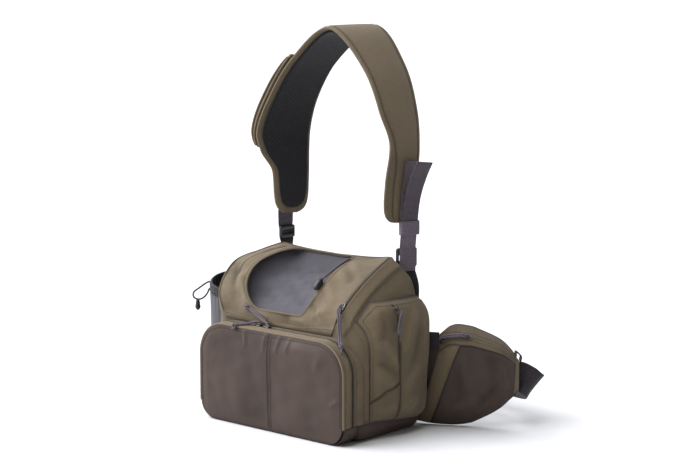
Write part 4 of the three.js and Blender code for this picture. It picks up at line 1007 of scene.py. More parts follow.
welt = pocket_band(PANEL_BACK, WELT_BACK, swell=0.8)
gusset = Cloth(gusset_base, POCKET_INSIDE, zip_side_waves, band_shade)
zip_band = pocket_band(WELT_BACK + GAP, FRONT_ZIP_BACK, ZIP_INSET)
front_boot = pocket_band(PANEL_BACK, POCKET_BACK, 0.0, OVER_TOP + GAP, POCKET_MARKS[-1] - GAP, 0.3)
welt.skin(even(260), even(13), CLOTH).build("front_welt_cloth", KHAKI, "front_pocket_welt")
gusset.skin(even(260), even(15), GUSSET_CLOTH).build("front_gusset_cloth", KHAKI, "front_pocket_gusset")
zipper("front_zipper", Cloth(lambda u, v: zip_band.base(v, u), POCKET_INSIDE), OVER_TOP)
front_boot.skin(even(140), even(17), CLOTH).build("front_boot_cloth", BROWN, "front_pocket_boot")
PIPING_BACK, PIPING_INSET, PIPING_RADIUS = 1.4, 1.2, 1.9
piping_line = pocket_point(np.linspace(0, OVER_TOP, 220), POCKET_FACE + PIPING_BACK, PIPING_INSET)
tube("front_panel_piping", KHAKI, piping_line, PIPING_RADIUS, 10)

# Right side pocket
SIDE_FRONT, SIDE_STRAIGHT, SIDE_WRAP, SIDE_BELOW = -0.93, 0.8, 50, 13
SIDE_TOP, SIDE_REAR_DROP, SIDE_STAND, SIDE_BULGE, SIDE_EDGE, SIDE_CLOTH = 186, 34, 1.5, 12, 1.0, 0.9
SIDE_INSIDE = (60, 10, 90)
SIDE_WIDTH, SIDE_HEIGHT = 125, 150
SIDE_TAPE_AT, SIDE_TAPE_HALF, SIDE_TAPE_LENGTH = 0.36, 0.011, 85


def side_point(along, up):
    along, up = np.broadcast_arrays(np.asarray(along, float), np.asarray(up, float))
    past = (along - SIDE_STRAIGHT) / (1 - SIDE_STRAIGHT)
    angle = np.radians(SIDE_WRAP * clamp(past, 0, 1.2))
    cy = np.minimum(lerp(SIDE_FRONT, 1, along / SIDE_STRAIGHT), 1)
    station = np.ones_like(along), cy, np.cos(angle), np.sin(angle)
    top = np.minimum(SIDE_TOP - SIDE_REAR_DROP * clamp(past) ** 2, rim_point(station)[..., 2] - SIDE_BELOW)
    steep = np.where(along < 0.5, 2.6, 6.0)
    full = (1 - clamp(np.abs(2 * along - 1)) ** steep) * (1 - clamp(np.abs(2 * up - 1)) ** 8)
    stand = SIDE_EDGE + (SIDE_STAND + CLOTH - SIDE_EDGE) * ease(1.6 * full) + SIDE_BULGE * full
    return body_point(station, lerp(boot_top(station) + 1, top, up), -stand)


def side_place(y, z):
    """Shares of the side pocket at a place on the pack's right side."""
    along = SIDE_STRAIGHT * ((y - MIDDLE_Y) / (SIDE_RUN / 2) - SIDE_FRONT) / (1 - SIDE_FRONT)
    low = boot_line(y) + 1
    return along, (z - low) / (SIDE_TOP - low)


def side_line(*places):
    """A line on the side pocket through places of (y, z)."""
    y, z = (np.interp(even(25), even(len(row)), row) for row in zip(*places))
    return side_point(*side_place(y, z))


SIDE_SEAMS = [side_line((14, 130), (16, 70), (15, 22)), side_line((-34, 56), (-10, 66), (15, 74))]
SIDE_FOLDS = [(side_line(*places), height, width) for *places, height, width in (
    ((48, 172), (36, 150), (22, 116), 3.6, 6), ((58, 152), (50, 120), (38, 84), -2.8, 7),
    ((52, 98), (40, 78), (22, 60), 3.0, 8), ((-38, 176), (-30, 160), (-20, 144), 3.2, 6),
    ((-9, 174), (-10, 154), (-17, 130), -1.6, 5), ((-38, 146), (-12, 132), (10, 104), 2.6, 6),
    ((-39, 122), (-14, 106), (10, 82), -1.8, 6), ((-36, 104), (-16, 92), (4, 70), 2.4, 7),
    ((-6, 128), (4, 112), (12, 92), 1.8, 5), ((-34, 46), (-10, 38), (10, 44), 2.6, 6),
    ((20, 48), (36, 40), (54, 46), 2.4, 7),
)]


def side_seams(points, width):
    return sum(bell(near_line(points, line)[0], width) for line in SIDE_SEAMS)


def side_height(points, u, v):
    waves = 1.9 * ripples(points, 80, 51, (1, 1, 0.45)) + 0.8 * ripples(points, 30, 52, (1, 1, 0.6))
    corner = 3.0 * bell(u - 0.88, 0.1) * ease((v - 0.3) / 0.3) * ease(5 - 5 * v)
    slack = free(u, 7) * free(v, 7)
    return (waves + folds(points, SIDE_FOLDS)) * slack - 1.3 * side_seams(points, 1.6) + corner


def edge_distance(u, v, width, height):
    return np.minimum(np.minimum(u, 1 - u) * width, np.minimum(v, 1 - v) * height)


def side_shade(points, u, v):
    edge = edge_distance(u, v, SIDE_WIDTH, SIDE_HEIGHT)
    top = bell((1 - v) * SIDE_HEIGHT, 2.2)
    return 1 - 0.8 * bell(edge, 1.5) - 0.6 * side_seams(points, 1.3) - 0.3 * top


side_pocket = Cloth(side_point, SIDE_INSIDE, side_height, side_shade)
side_pocket.skin(even(110), even(120), SIDE_CLOTH).build("side_pocket_cloth", KHAKI, "side_pocket_right")


def side_tape_base(u, v):
    return side_pocket(SIDE_TAPE_AT + SIDE_TAPE_HALF * lerp(-1, 1, u), lerp(0.5, 0.97, v), 0.2)


side_tape = Cloth(side_tape_base, SIDE_INSIDE)
zipper("side_zipper", side_tape, SIDE_TAPE_LENGTH)

# Left sleeve and its hem
SLEEVE_X, SLEEVE_Y, SLEEVE_RADIUS, SLEEVE_FLOOR, SLEEVE_TOP = -175.4, 35, 40.5, 14, 159
SLEEVE_WALL, SLEEVE_GATHERS, SLEEVE_TURN = -BODY_HALF - 2 * GAP, 34, 0.8
HEM_HEIGHT, HEM_CLOTH, HEM_SLOPE, HEM_HIGH = 13, 3.4, 8.4, math.radians(135)
sleeve_inset = smooth_table([(0, 0), (0.5, 0), (0.93, 1.5), (0.98, 5), (1, 11)])


def sleeve_point(angle, height, inset):
    x = SLEEVE_X + (SLEEVE_RADIUS - inset) * np.cos(angle)
    y = SLEEVE_Y + (SLEEVE_RADIUS - inset) * np.sin(angle)
    return vec(np.minimum(x, SLEEVE_WALL - inset), y, height)


def sleeve_top(angle):
    return SLEEVE_TOP + HEM_SLOPE * np.cos(angle - HEM_HIGH)


def sleeve_base(u, v):
    """Down the sleeve's wall, and then in over its floor."""
    angle, share = FULL_TURN * u, clamp(v / SLEEVE_TURN)
    points = sleeve_point(angle, lerp(sleeve_top(angle), SLEEVE_FLOOR, share), sleeve_inset(share))
    middle = np.array([SLEEVE_X, SLEEVE_Y, SLEEVE_FLOOR])
    return lerp(points, middle, 0.98 * clamp((v - SLEEVE_TURN) / (1 - SLEEVE_TURN))[..., None])


def hem_base(u, v):
    angle = FULL_TURN * u
    return sleeve_point(angle, sleeve_top(angle) + GAP + HEM_HEIGHT * v, -0.2)


def off_wall(points):
    return ease((SLEEVE_WALL - 1 - points[..., 0]) / 6)


def sleeve_height(points, u, v):
    gathers = 0.7 * np.sin(FULL_TURN * u * SLEEVE_GATHERS) * np.exp(-v / 0.08)
    waves = ripples(points, 60, 61, (1, 1, 0.4)) * ease(5 * v) * ease((0.7 - v) * 6)
    return (gathers + waves) * off_wall(points)


def hem_height(points, u, v):
    gathers = 0.5 * np.sin(FULL_TURN * u * SLEEVE_GATHERS) * (1 - v)
    return (gathers + 0.8 * np.sin(math.pi * v)) * off_wall(points)


sleeve = Cloth(sleeve_base, (SLEEVE_X, SLEEVE_Y, 90), sleeve_height)
sleeve.skin(even(200, True), even(70), CLOTH, True).build("sleeve_cloth", GRAY, "left_sleeve")
hem = Cloth(hem_base, (SLEEVE_X, SLEEVE_Y, 160), hem_height)
hem.skin(even(200, True), even(12), HEM_CLOTH, True).build("sleeve_hem_cloth", BLACK_WEBBING, "sleeve_hem")

# Belt wings
WING_X, WING_Y, WING_LENGTH, WING_ROOT, WING_PAD, WING_DEPTH = 118, 90, 141, 6, 10, 21
WING_START, WING_END = math.radians(20), math.radians(46)
WING_RADIUS = WING_LENGTH / (WING_END - WING_START)
WING_INSIDE = (150, 140, 60)
PAD_ROLL, PAD_EDGE = 0.55 * WING_PAD / 2, 0.45
PANEL_LOW, PANEL_HIGH, PANEL_TIP, BAND_LOW, BAND_HIGH = 20, 63, 136, 22, 31
WING_SEAM, WING_EDGES, BAND_ROOT, WING_TAPE_LENGTH = 1.5, 90, 0.15, 42
LIP_DROP, LIP_DROP_TIP, LIP_RUN = 24, 13, 78
TIP_BEFORE, TIP_PAST, TIP_SWELL = 5, 4, 3
wing_edge = smooth_table([
    (0, 4, 104), (20, 1.8, 117), (36, 1.4, 132), (46, 1.4, 140), (56, 2, 143),
    (74, 5, 141), (88, 11, 136), (115, 26, 123), (128, 38, 111), (141, 50, 92),
])


def wing_point(along, height, lift, mirror=1):
    heading = WING_START + along / WING_RADIUS
    x = WING_X + WING_RADIUS * (np.sin(heading) - math.sin(WING_START)) + lift * np.sin(heading)
    y = WING_Y - WING_RADIUS * (np.cos(heading) - math.cos(WING_START)) - lift * np.cos(heading)
    return vec(mirror * x, y, height)


def pad_half(along, height):
    low, high = wing_edge(along)
    up = clamp((height - low) / (high - low))
    edge = np.maximum(np.abs(2 * up - 1) ** 4, clamp(along / WING_LENGTH) ** 8)
    return WING_PAD / 2 * (1 - PAD_EDGE * edge)


def pad_face(mirror, side):
    def base(u, v):
        along = lerp(-WING_ROOT, WING_LENGTH, u)
        low, high = wing_edge(along)
        height = lerp(low + PAD_ROLL, high - PAD_ROLL, v)
        return wing_point(along, height, side * pad_half(along, height), mirror)

    return base


for mirror, name in ((1, "wing_pad_right"), (-1, "wing_pad_left")):
    foam = between(pad_face(mirror, 1), pad_face(mirror, -1), even(90), even(60))
    made = foam.build(name + "_foam", BROWN, name)


def on_pad(along, height, lift):
    """A place on the wing's outer face, lifted off the pad."""
    return wing_point(along, height, lift + (pad_half(along, height) + 2 * GAP))


def wing_pocket_top(along):
    return wing_edge(along)[1] - lerp(LIP_DROP, LIP_DROP_TIP, clamp((along - PANEL_HIGH) / LIP_RUN))


def panel_bulge(u, v):
    return WING_DEPTH * clamp(v) ** 0.75 * (1 - clamp(u) ** 6)


def under_lip(along, v, bulge):
    """A place on the wing pocket's face, from its foot up to its lip."""
    height = lerp(wing_edge(along)[0] + WING_SEAM, wing_pocket_top(along), v)
    return on_pad(along, height, bulge + CLOTH)


def wing_panel_base(u, v):
    return under_lip(lerp(lerp(PANEL_LOW, PANEL_HIGH, v), PANEL_TIP, u), v, panel_bulge(u, v))


def wing_band_base(u, v):
    root = lerp(PANEL_LOW, PANEL_HIGH, v) - GAP
    along = lerp(root - lerp(BAND_LOW, BAND_HIGH, v), root, u)
    return under_lip(along, v, panel_bulge(0, v) * lerp(BAND_ROOT, 1, u))


def pocket_lip(along):
    panel_share = (along - PANEL_HIGH) / (PANEL_TIP - PANEL_HIGH)
    band_share = clamp(1 + (along - PANEL_HIGH) / BAND_HIGH)
    on_band = WING_DEPTH * lerp(BAND_ROOT, 1, band_share)
    return np.where(panel_share < 0, on_band, panel_bulge(panel_share, 1.0))


def wing_top_base(u, v):
    along = lerp(PANEL_HIGH - BAND_HIGH, PANEL_TIP, u)
    height = lerp(wing_pocket_top(along) + 2 * GAP, wing_edge(along)[1], v)
    return on_pad(along, height, lerp(pocket_lip(along) + CLOTH, 0, clamp(v) ** 1.5))


def wing_rim_base(u, v):
    """A narrow rounded rim over the pocket's end."""
    along = lerp(PANEL_TIP - TIP_BEFORE, PANEL_TIP + TIP_PAST, u)
    low, high = wing_edge(along)
    return on_pad(along, lerp(low + 5, high - 1, v), 1 + TIP_SWELL * (1 - (2 * u - 1) ** 2))


def wing_fold(start, end, height, width):
    """A soft fold on the wing's panel between two places given as (u, v)."""
    u, v = (np.linspace(a, b, 5) for a, b in zip(start, end))
    return wing_panel_base(u, v), height, width


WING_FOLDS = [wing_fold(*row) for row in (
    ((0.06, 0.9), (0.36, 0.42), 2.8, 7), ((0.3, 0.95), (0.56, 0.5), 2.4, 6),
    ((0.7, 0.9), (0.88, 0.3), 3.0, 6), ((0.2, 0.16), (0.56, 0.3), 2.8, 8),
    ((0.5, 0.15), (0.76, 0.45), -2.4, 7),
)]


def wing_panel_height(points, u, v):
    waves = 1.8 * ripples(points, 75, 81) + 0.7 * ripples(points, 30, 82)
    return (waves + folds(points, WING_FOLDS)) * free(u, 6) * free(v, 5, 8)


def wing_shade(painted_shade, seam=0.0):
    """Dark edges on a cloth that painted shade darkens all over, for the body's shadow over the wing, with a
    seam along it where one is wanted.
    """

    def shade(points, u, v):
        edges = 0.65 * bell(edge_distance(u, v, WING_EDGES, WING_EDGES), 1.5)
        return 1 - edges - painted_shade - seam * bell(v - 0.46, 0.03)

    return shade


# Painted shade for the body's shadow over the wing: most on the gusset, less on the panel and band, none on
# the rim.
wing_panel = Cloth(wing_panel_base, WING_INSIDE, wing_panel_height, wing_shade(0.2))
wing_panel.skin(even(90), even(90), CLOTH).build("wing_panel_cloth", BROWN, "wing_pocket_panel")
wing_band = Cloth(wing_band_base, WING_INSIDE, None, wing_shade(0.1))
wing_band.skin(even(24), even(80), CLOTH).build("wing_band_cloth", KHAKI, "wing_band")
wing_gusset = Cloth(wing_top_base, WING_INSIDE, None, wing_shade(0.42, 0.4))
wing_gusset.skin(even(100), even(24), 1.6).build("wing_gusset_cloth", KHAKI, "wing_gusset")
wing_rim = Cloth(wing_rim_base, WING_INSIDE, None, wing_shade(0.0))
wing_rim.skin(even(14), even(60), 1.0).build("wing_rim_cloth", KHAKI)
wing_tape = Cloth(lambda u, v: wing_gusset(lerp(0.03, 0.4, v), lerp(0.4, 0.52, u), 0.3), WING_INSIDE)
zipper("wing_zipper", wing_tape, WING_TAPE_LENGTH)

# Straps
WEB_WIDTH, WEB_CLOTH, BELT_WIDTH, BELT_CLOTH, LOOP_WIDTH = 25, 1.8, 40, 2.2, 14


def flat_section(width, cloth, points=9):
    """Section of a strap: two flat faces and rounded edges."""
    half, edge = width / 2 - cloth / 2, cloth / 2
    across = np.linspace(-half, half, points)
    turn = np.linspace(-QUARTER, QUARTER, 5)[1:-1]
    side = vec(half + edge * np.cos(turn), edge * np.sin(turn))
    lower = np.vstack([vec(across, -edge), side])
    return np.vstack([lower, -lower])


def ribbon(points, width_at, count, width=WEB_WIDTH, cloth=WEB_CLOTH):
    """Webbing along a route; width_at gives the direction of its width at shares of the way."""
    route, shares = Route(points), even(count)
    along = route.tangent_at(shares)
    wide = square_to(width_at(shares), along)
    return Skin().sweep(route.at(shares), wide, np.cross(along, wide), flat_section(width, cloth))


def steady(direction):
    return lambda share: np.tile(direction, (len(share), 1))


def turning(first, last, start, end):
    return lambda share: headed(lerp(first, last, clamp((share - start) / (end - start))))


BUCKLE_LENGTH, BUCKLE_HEIGHT, BUCKLE_Y, BUCKLE_Z = 64, 46, 230, 46
BELT_ROUTE = np.vstack([
    wing_point(WING_LENGTH - 14, 70, -5.6), wing_point(WING_LENGTH + 3, 70, -6),
    [(241.4, 176.4, 65.4), (245, 182.6, 59), (244, 190, 55), (234, 199, 51), (150, 222, 46)],
    (BUCKLE_LENGTH / 2 + 3 * GAP, BUCKLE_Y, BUCKLE_Z),
])


def belt_width(side):
    """Upright at the wing, leaning where the belt swings round behind."""

    def at(share):
        leaning = clamp((share - 0.07) / 0.07) * clamp((0.45 - share) / 0.25)
        return lerp(UPWARD, np.array([side * 0.47, 0.4, 0.79]), leaning[:, None])

    return at


for side, name in ((1, "belt_webbing_right"), (-1, "belt_webbing_left")):
    route = BELT_ROUTE * np.array([side, 1, 1])
    belt = ribbon(route, belt_width(side), 160, BELT_WIDTH, BELT_CLOTH)
    belt.build(name + "_strap", BELT_WEBBING, name)

STAY_HEIGHT = 119
stay_route = [(124, 83.4, STAY_HEIGHT), (131, 86.4, STAY_HEIGHT)]
stay_route += [wing_point(a, STAY_HEIGHT, WING_PAD / 2 + 4 * GAP) for a in (18, 25, 32)]
ribbon(stay_route, steady(UPWARD), 40).build("wing_stay_strap", BELT_WEBBING, "wing_stay")
LOOP_PLACES = ((136, 0.4), (136, 5.6), (140, 9.6), (143, 7.2), (142, 0.4))
loop_route = [wing_point(along, wing_edge(along)[1] + rise, 0.0) for along, rise in LOOP_PLACES]
tip_out = steady([math.sin(WING_END), -math.cos(WING_END), 0])
ribbon(loop_route, tip_out, 40, LOOP_WIDTH).build("wing_loop_strap", BLACK_WEBBING, "wing_loop")

# Shoulder strap; each row is x, z, the reach to the front and to the back, and the turn
STRAP_ROWS = np.array([
    (-97, 278, 24, 32, 76), (-101, 335, 28, 33, 76), (-105, 366, 48, 35, 77), (-106, 392, 56, 36, 78),
    (-96, 437, 50, 36, 79), (-62, 496, 46, 38, 80), (5, 543, 48, 42, 82), (66, 492, 44, 38, 86),
    (97, 433, 41, 34, 88), (108, 386, 28, 31, 88), (107, 340, 31, 32, 88), (103, 283, 27, 29, 88),
], float)
STRAP_HALF, GROOVE, GROOVE_RIGHT = 4.5, 6.5, 7.0
strap_line = Route(vec(STRAP_ROWS[:, 0], 60 + 0.1 * (STRAP_ROWS[:, 1] - 285), STRAP_ROWS[:, 1]))
strap_reach = smooth_table(np.column_stack([even(len(STRAP_ROWS)), STRAP_ROWS[:, 2:]]))
tip_width = smooth_table([(0, 0.4), (0.004, 0.6), (0.012, 0.81), (0.025, 0.94), (0.048, 1), (0.5, 1)])
TIPS = np.array([0, 0.001, 0.0025, 0.0045, 0.007, 0.01, 0.014, 0.019, 0.025, 0.032, 0.041])
STRAP_SHARES = np.r_[TIPS, np.linspace(0.05, 0.95, 190), 1 - TIPS[::-1]]


def reach_at(share, across):
    front, back, _ = strap_reach(share)
    return np.where(across < 0, front, back)


def strap_point(share, across, lift):
    share, across, lift = np.broadcast_arrays(*(np.asarray(w, float) for w in (share, across, lift)))
    along = strap_line.tangent(share)
    wide = square_to(headed(strap_reach(share)[2]), along)
    out = -unit(np.cross(wide, along))
    reach = across * reach_at(share, across)
    return strap_line.point(share) + wide * reach[..., None] + out * lift[..., None]


def tip_at(share, start=0.0):
    return tip_width(np.minimum(share, 1 - share) - start)


def strap_crown(across):
    return (1 - 0.5 * np.abs(across) ** 4) * STRAP_HALF


def groove_inset(share, across):
    """How far the stitched groove runs from the pad's edge: further in at the right end's front."""
    return GROOVE + np.where(across < 0, GROOVE_RIGHT * ease((share - 0.8) / 0.09), 0.0)


def strap_section(share, turn):
    """Round the pad's section with turn: a crowned outer face, rounded edges and the inner face."""
    across, side = squared(np.cos(turn), 0.45), np.sin(turn)
    edge = (1 - np.abs(across)) * reach_at(share, across)
    inset = groove_inset(share, across)
    groove = 1.3 * bell(edge - inset, 1.5) * ease(3 * side)
    shade = 1 - 0.45 * groove - 0.25 * ease((inset - edge) / 3) * ease((inset - 7) / 4)
    lift = squared(side, 0.35) * strap_crown(across) - groove
    return strap_point(share, across * tip_at(share), lift), clamp(shade)


strap_skin = Skin().capped(*strap_section(*grid_of(STRAP_SHARES, turns(144))))
strap_pad = strap_skin.build("strap_pad_cloth", KHAKI, "strap_pad")
STRIP_START, STRIP_END, STRIP_FRONT, STRIP_REAR, STRIP_CLOTH, STRIP_STAND = 0.2, 0.45, -0.97, 0.66, 1.6, 8.0
MESH_BORDER, MESH_END, MESH_OUT, MESH_IN = 6.5, 0.013, -STRAP_HALF - 2 * GAP - 1.2, -3.6


def strap_outer(u, v):
    across = lerp(-1, 1, u)
    return strap_point(v, across * tip_at(v), strap_crown(across))


def mesh_face(lift):
    def face(u, v):
        share, across = lerp(MESH_END, 1 - MESH_END, v), lerp(-1, 1, u)
        inside = 1 - MESH_BORDER / reach_at(share, across)
        return strap_point(share, across * inside * tip_at(share, MESH_END), lift)

    return face


def strip_face(thick, stand):
    """Accessory strip on the outer face, full towards the strap's front edge."""

    def face(u, v):
        share, across = lerp(STRIP_START, STRIP_END, v), lerp(STRIP_FRONT, STRIP_REAR, u)
        swell = stand * np.sin(math.pi * clamp(v, 0.02, 0.98)) ** 0.5 * (1 - clamp(u) ** 4)
        return strap_point(share, across, STRAP_HALF + 2 * GAP + swell + thick)

    return face


strap_face = Cloth(strap_outer, (0, 60, 300))
between(mesh_face(MESH_OUT), mesh_face(MESH_IN), even(25), STRAP_SHARES).build(
    "strap_mesh_cloth", MESH, "strap_mesh"
)
strip = between(strip_face(STRIP_CLOTH, STRIP_STAND), strip_face(0.0, 0.0), even(40), even(60))
for thick, stand in ((1.2, 0.0), (0.6, STRIP_STAND)):
    strip.tube(strip_face(thick, stand)(np.full(50, -0.012), np.linspace(0.03, 0.97, 50)), 1.5, 8)
strip.build("strap_panel_cloth", KHAKI, "strap_panel")

# Webbing and hardware between the strap and the pack
Hardware = namedtuple("Hardware", "place turn width height thickness")
LOCK = Hardware((106.4, 78, 233), 70, 32, 27, 4)
HOOK = Hardware((-110.5, 70.5, 248), 84, 27, 18, 3)
KEEPER = Hardware((117.2, 71, 276), 70, 29, 19, 8.8)
BUCKLE = Hardware((0, BUCKLE_Y, BUCKLE_Z), 0, BUCKLE_LENGTH, BUCKLE_HEIGHT, 11)
PLATE_BEVEL, PLATE_CORNER, KEEPER_CLOTH, KEEPER_CORNER, KEEPER_BOW = 0.8, 3, 1.2, 2.4, 0.35
BUCKLE_CORNER, BUCKLE_EDGE = 8, [(0, 3.0), (0.9, 1.0), (3.0, 0.0)]
ANCHOR_X, ANCHOR_FOOT, ANCHOR_FREE, ANCHOR_CLEAR, ANCHOR_SWING, ANCHOR_END = 112, 158, 174, 2.8, 12.5, 5


def beside(thing, across, ahead, rise):
    """Places about a piece of hardware: across its width, ahead of its face, and up."""
    across, ahead, rise = (w[..., None] for w in np.broadcast_arrays(across, ahead, rise))
    place = thing.place + across * headed(thing.turn) + ahead * headed(thing.turn - 90)
    return place + rise * UPWARD


right_route = [beside(LOCK, 0, 3.5, rise) for rise in (-18.5, -4, 14)]
right_route += [beside(KEEPER, 0, -1.8, rise) for rise in (-10, 10)]
right_route += [strap_point(share, 0.36, STRAP_HALF + 5 * GAP) for share in (0.95, 0.9, 0.855)]
tail_route = [beside(KEEPER, 0, 1.8, rise) for rise in (-9, 10)]
tail_route += [(124, 70, 318), (135, 69, 346), (147, 68, 368)]
left_route = [beside(HOOK, 0, -3.3, rise) for rise in (-6, 8)] + [(-109.6, 66, 268)]
left_route += [strap_point(share, -0.05, STRAP_HALF + 6 * GAP) for share in (0.02, 0.06)]
right_web = ribbon(right_route, turning(70, 88, 0.5, 0.6), 120)
right_web.build("strap_webbing_right_strap", WEBBING, "strap_webbing_right")
# The tail and the left webbing take the darker copy of the webbing, which is painted shade.
ribbon(tail_route, steady(headed(70.0)), 70).build("strap_tail_strap", SHADED_WEBBING, "strap_tail_right")
left_web = ribbon(left_route, turning(84, 76, 0.2, 0.5), 60)
left_web.build("strap_webbing_left_strap", SHADED_WEBBING, "strap_webbing_left")


def anchor(side, thing):
    """Webbing sewn to the back wall and twisted up to a piece of hardware."""
    x, y, z = thing.place
    station = [np.array(float(w)) for w in (side, 1, 0, 1)]
    foot = z - thing.height / 2 - 3 * GAP
    level = foot - ANCHOR_END

    def wall_y(height, clear):
        return body_point(station, np.array(float(height)), -clear)[1]

    route = [(side * ANCHOR_X, wall_y(ANCHOR_FOOT, ANCHOR_CLEAR), ANCHOR_FOOT)]
    for share in even(4, True):
        up = lerp(ANCHOR_FREE, level, share)
        clear = ANCHOR_CLEAR + ANCHOR_SWING * math.sin(math.radians(thing.turn * share))
        route.append((lerp(side * ANCHOR_X, x, share), wall_y(up, clear), up))
    behind = -thing.thickness / 2 - 1.2
    route += [(x, y, level)] + [beside(thing, 0, behind, rise - thing.height / 2) for rise in (1, 3)]
    start, end = ((up - ANCHOR_FOOT) / (foot - ANCHOR_FOOT) for up in (ANCHOR_FREE, level))
    return ribbon(route, turning(0 if side > 0 else 180, thing.turn, start, end), 90)


anchor(1, LOCK).build("strap_anchor_right_strap", ANCHOR_WEBBING, "strap_anchor_right")
anchor(-1, HOOK).build("strap_anchor_left_strap", ANCHOR_WEBBING, "strap_anchor_left")


def outline(half_wide, half_high, radius, steps=6):
    """Points round a rectangle with rounded corners, as one row of each coordinate."""
    rows = []
    for k, (sx, sz) in enumerate(((1, 1), (-1, 1), (-1, -1), (1, -1))):
        turn = np.linspace(k, k + 1, steps) * QUARTER
        x = sx * (half_wide - radius) + radius * np.cos(turn)
        rows.append((x, sz * (half_high - radius) + radius * np.sin(turn)))
    return np.hstack(rows)


def closed(rings):
    skin = Skin()
    skin.grid(np.stack(rings, 1), closed_u=True, closed_v=True)
    return skin


def plate(thing):
    """A plate with rounded edges and a slot, standing upright and turned to its webbing."""
    half, w, h = thing.thickness / 2, thing.width / 2, thing.height / 2
    levels = [(-half, PLATE_BEVEL), (PLATE_BEVEL - half, 0), (half - PLATE_BEVEL, 0), (half, PLATE_BEVEL)]
    rows = [(outline(w - b, h - b, PLATE_CORNER - b), d) for d, b in levels]
    rows += [(outline(0.76 * w + b, 0.3 * h + b, 1.5 + b), d) for d, b in levels[::-1]]
    return closed([beside(thing, x, depth, z) for (x, z), depth in rows])


def keeper_band():
    """A band round both webbings, slightly bowed outside."""
    w, d, h = KEEPER.width / 2, KEEPER.thickness / 2, KEEPER.height / 2
    rings = []
    for inset, rises in ((0.0, np.linspace(-h, h, 9)), (KEEPER_CLOTH, np.linspace(h, -h, 9))):
        for rise in rises:
            bow = 0 if inset else KEEPER_BOW * (1 - (rise / h) ** 2)
            x, y = outline(w - inset, d - inset + bow, KEEPER_CORNER - inset)
            rings.append(beside(KEEPER, x, y, rise))
    return closed(rings)


def buckle():
    """A plain block with rounded corners and edges."""
    levels = [(depth - BUCKLE.thickness / 2, inset) for depth, inset in BUCKLE_EDGE]
    rings = []
    for depth, inset in levels + [(-depth, inset) for depth, inset in levels[::-1]]:
        x, z = outline(BUCKLE.width / 2 - inset, BUCKLE.height / 2 - inset, BUCKLE_CORNER - inset, 8)
        rings.append(beside(BUCKLE, x, -depth, z))
    return Skin().capped(np.stack(rings, 0))


plate(LOCK).build("strap_lock_body", PLASTIC, "strap_lock_right")
plate(HOOK).build("strap_hook_body", PLASTIC, "strap_hook_left")
keeper_band().build("strap_keeper_band", WEBBING, "strap_keeper")
buckle().build("belt_buckle_body", PLASTIC, "belt_buckle")

# Zip sliders
SLIDER_LENGTH, SLIDER_WIDE, SLIDER_NARROW, SLIDER_HEIGHT, SLIDER_STEPS = 10, 8, 5, 3.4, 9
SLIDER_HALF, BRIDGE_FOOT, BRIDGE_RISE, BRIDGE_REACH, BRIDGE_RADIUS = 0.9, 1.6, 1.7, 3.6, 0.8


def slider(name, place, along, up):
    """A tapered slider body with a bridge over it for its cord."""
    up = unit(np.asarray(up, float))
    sideways = unit(np.cross(up, along))
    ahead = np.cross(sideways, up)
    steps, turn, arch = np.linspace(-1, 1, SLIDER_STEPS), turns(14), np.linspace(0, math.pi, 12)
    half = lerp(SLIDER_NARROW, SLIDER_WIDE, ease(steps + 0.9)) / 2
    section = vec(squared(np.cos(turn), 0.4), squared(np.sin(turn), 0.4))
    line = np.array(place) + up * 1.0 + ahead * (steps * SLIDER_LENGTH / 2)[:, None]
    wide, out = (np.tile(w, (SLIDER_STEPS, 1)) for w in (sideways, up))
    sizes = np.column_stack([half, np.full(SLIDER_STEPS, SLIDER_HALF)])
    skin = Skin().sweep(line, wide, out, section, sizes)
    rise, reach = BRIDGE_FOOT + BRIDGE_RISE * np.sin(arch), -BRIDGE_REACH * np.cos(arch)
    bridge = np.array(place) + up * rise[:, None] + ahead * reach[:, None]
    skin.tube(bridge, BRIDGE_RADIUS, 8).build(name + "_body", METAL, name)


def tape_place(tape, v, lift=0.9, step=0.03):
    u, v = np.array(0.5), np.array(v)
    return tape(u, v, lift), unit(tape(u, v + step) - tape(u, v - step)), tape.normal(u, v)


LID_SLIDER_SHARE = (0.885 - LID_TAPE_START) / (LID_TAPE_END - LID_TAPE_START)
FRONT_ZIP_MIDDLE = (WELT_BACK + FRONT_ZIP_BACK) / 2
LID_SLIDER = tape_place(lid_tape(1), math.asin(LID_SLIDER_SHARE) / QUARTER)
WING_SLIDER = tape_place(wing_tape, 0.096)
for name, x in (("slider_front_left", -39), ("slider_front_right", -22)):
    slider(name, (x, FRONT_ZIP_MIDDLE, POCKET_TOP + GAP), RIGHTWARD, UPWARD)
slider("slider_lid", *LID_SLIDER)
slider("slider_side", *tape_place(side_tape, 0.9))
slider("slider_wing", *WING_SLIDER)

# Pull cords, each doubled and tied in a knot; a row is the way that its two strands face, and its route
PULL, STRAND_APART, STRAND_RADIUS, KNOT_SHARE, KNOT_SIZE, KNOT_TIGHT = 2.8, 2.7, 1.15, 0.86, 3.3, 0.42
CORD_SHARES = even(30)


def from_slider(place, along, up):
    start = place + up * (SLIDER_HEIGHT + PULL / 2 + 2 * GAP)
    return [start, start + along * 6]


PULLS = {
    "pull_front_left": ((0, -0.5, 0.85), [
        (-39, -63, 144.6), (-44, -66, 144.2), (-50, -72, 142), (-57, -79, 141.2),
        (-63, -85.4, 139.6), (-66, -87.2, 135),
    ]),
    "pull_front_right": ((0, -0.6, 0.8), [
        (-22, -63, 144.6), (-28, -62.6, 146), (-38, -61, 149), (-50, -59, 154),
        (-63, -57.4, 159), (-74, -56.4, 163),
    ]),
    "pull_lid": ((0.7, -0.7, 0.2), from_slider(*LID_SLIDER) + [
        (103, -54, 169), (106, -57, 160), (108, -58.6, 150), (111.5, -62, 141.6),
        (117.5, -68.4, 135), (124, -75, 127),
    ]),
    "pull_side": ((1, 0, 0), [
        (156.4, 10, 174), (156.6, 9.6, 168), (155.4, 9, 160), (154.6, 8, 152), (154.2, 6.6, 143),
    ]),
    "pull_wing": ((0.5, -0.6, 0.6), from_slider(*WING_SLIDER) + [
        (185, 94.4, 133.8), (192, 98, 133.4), (199, 102.4, 132),
    ]),
}


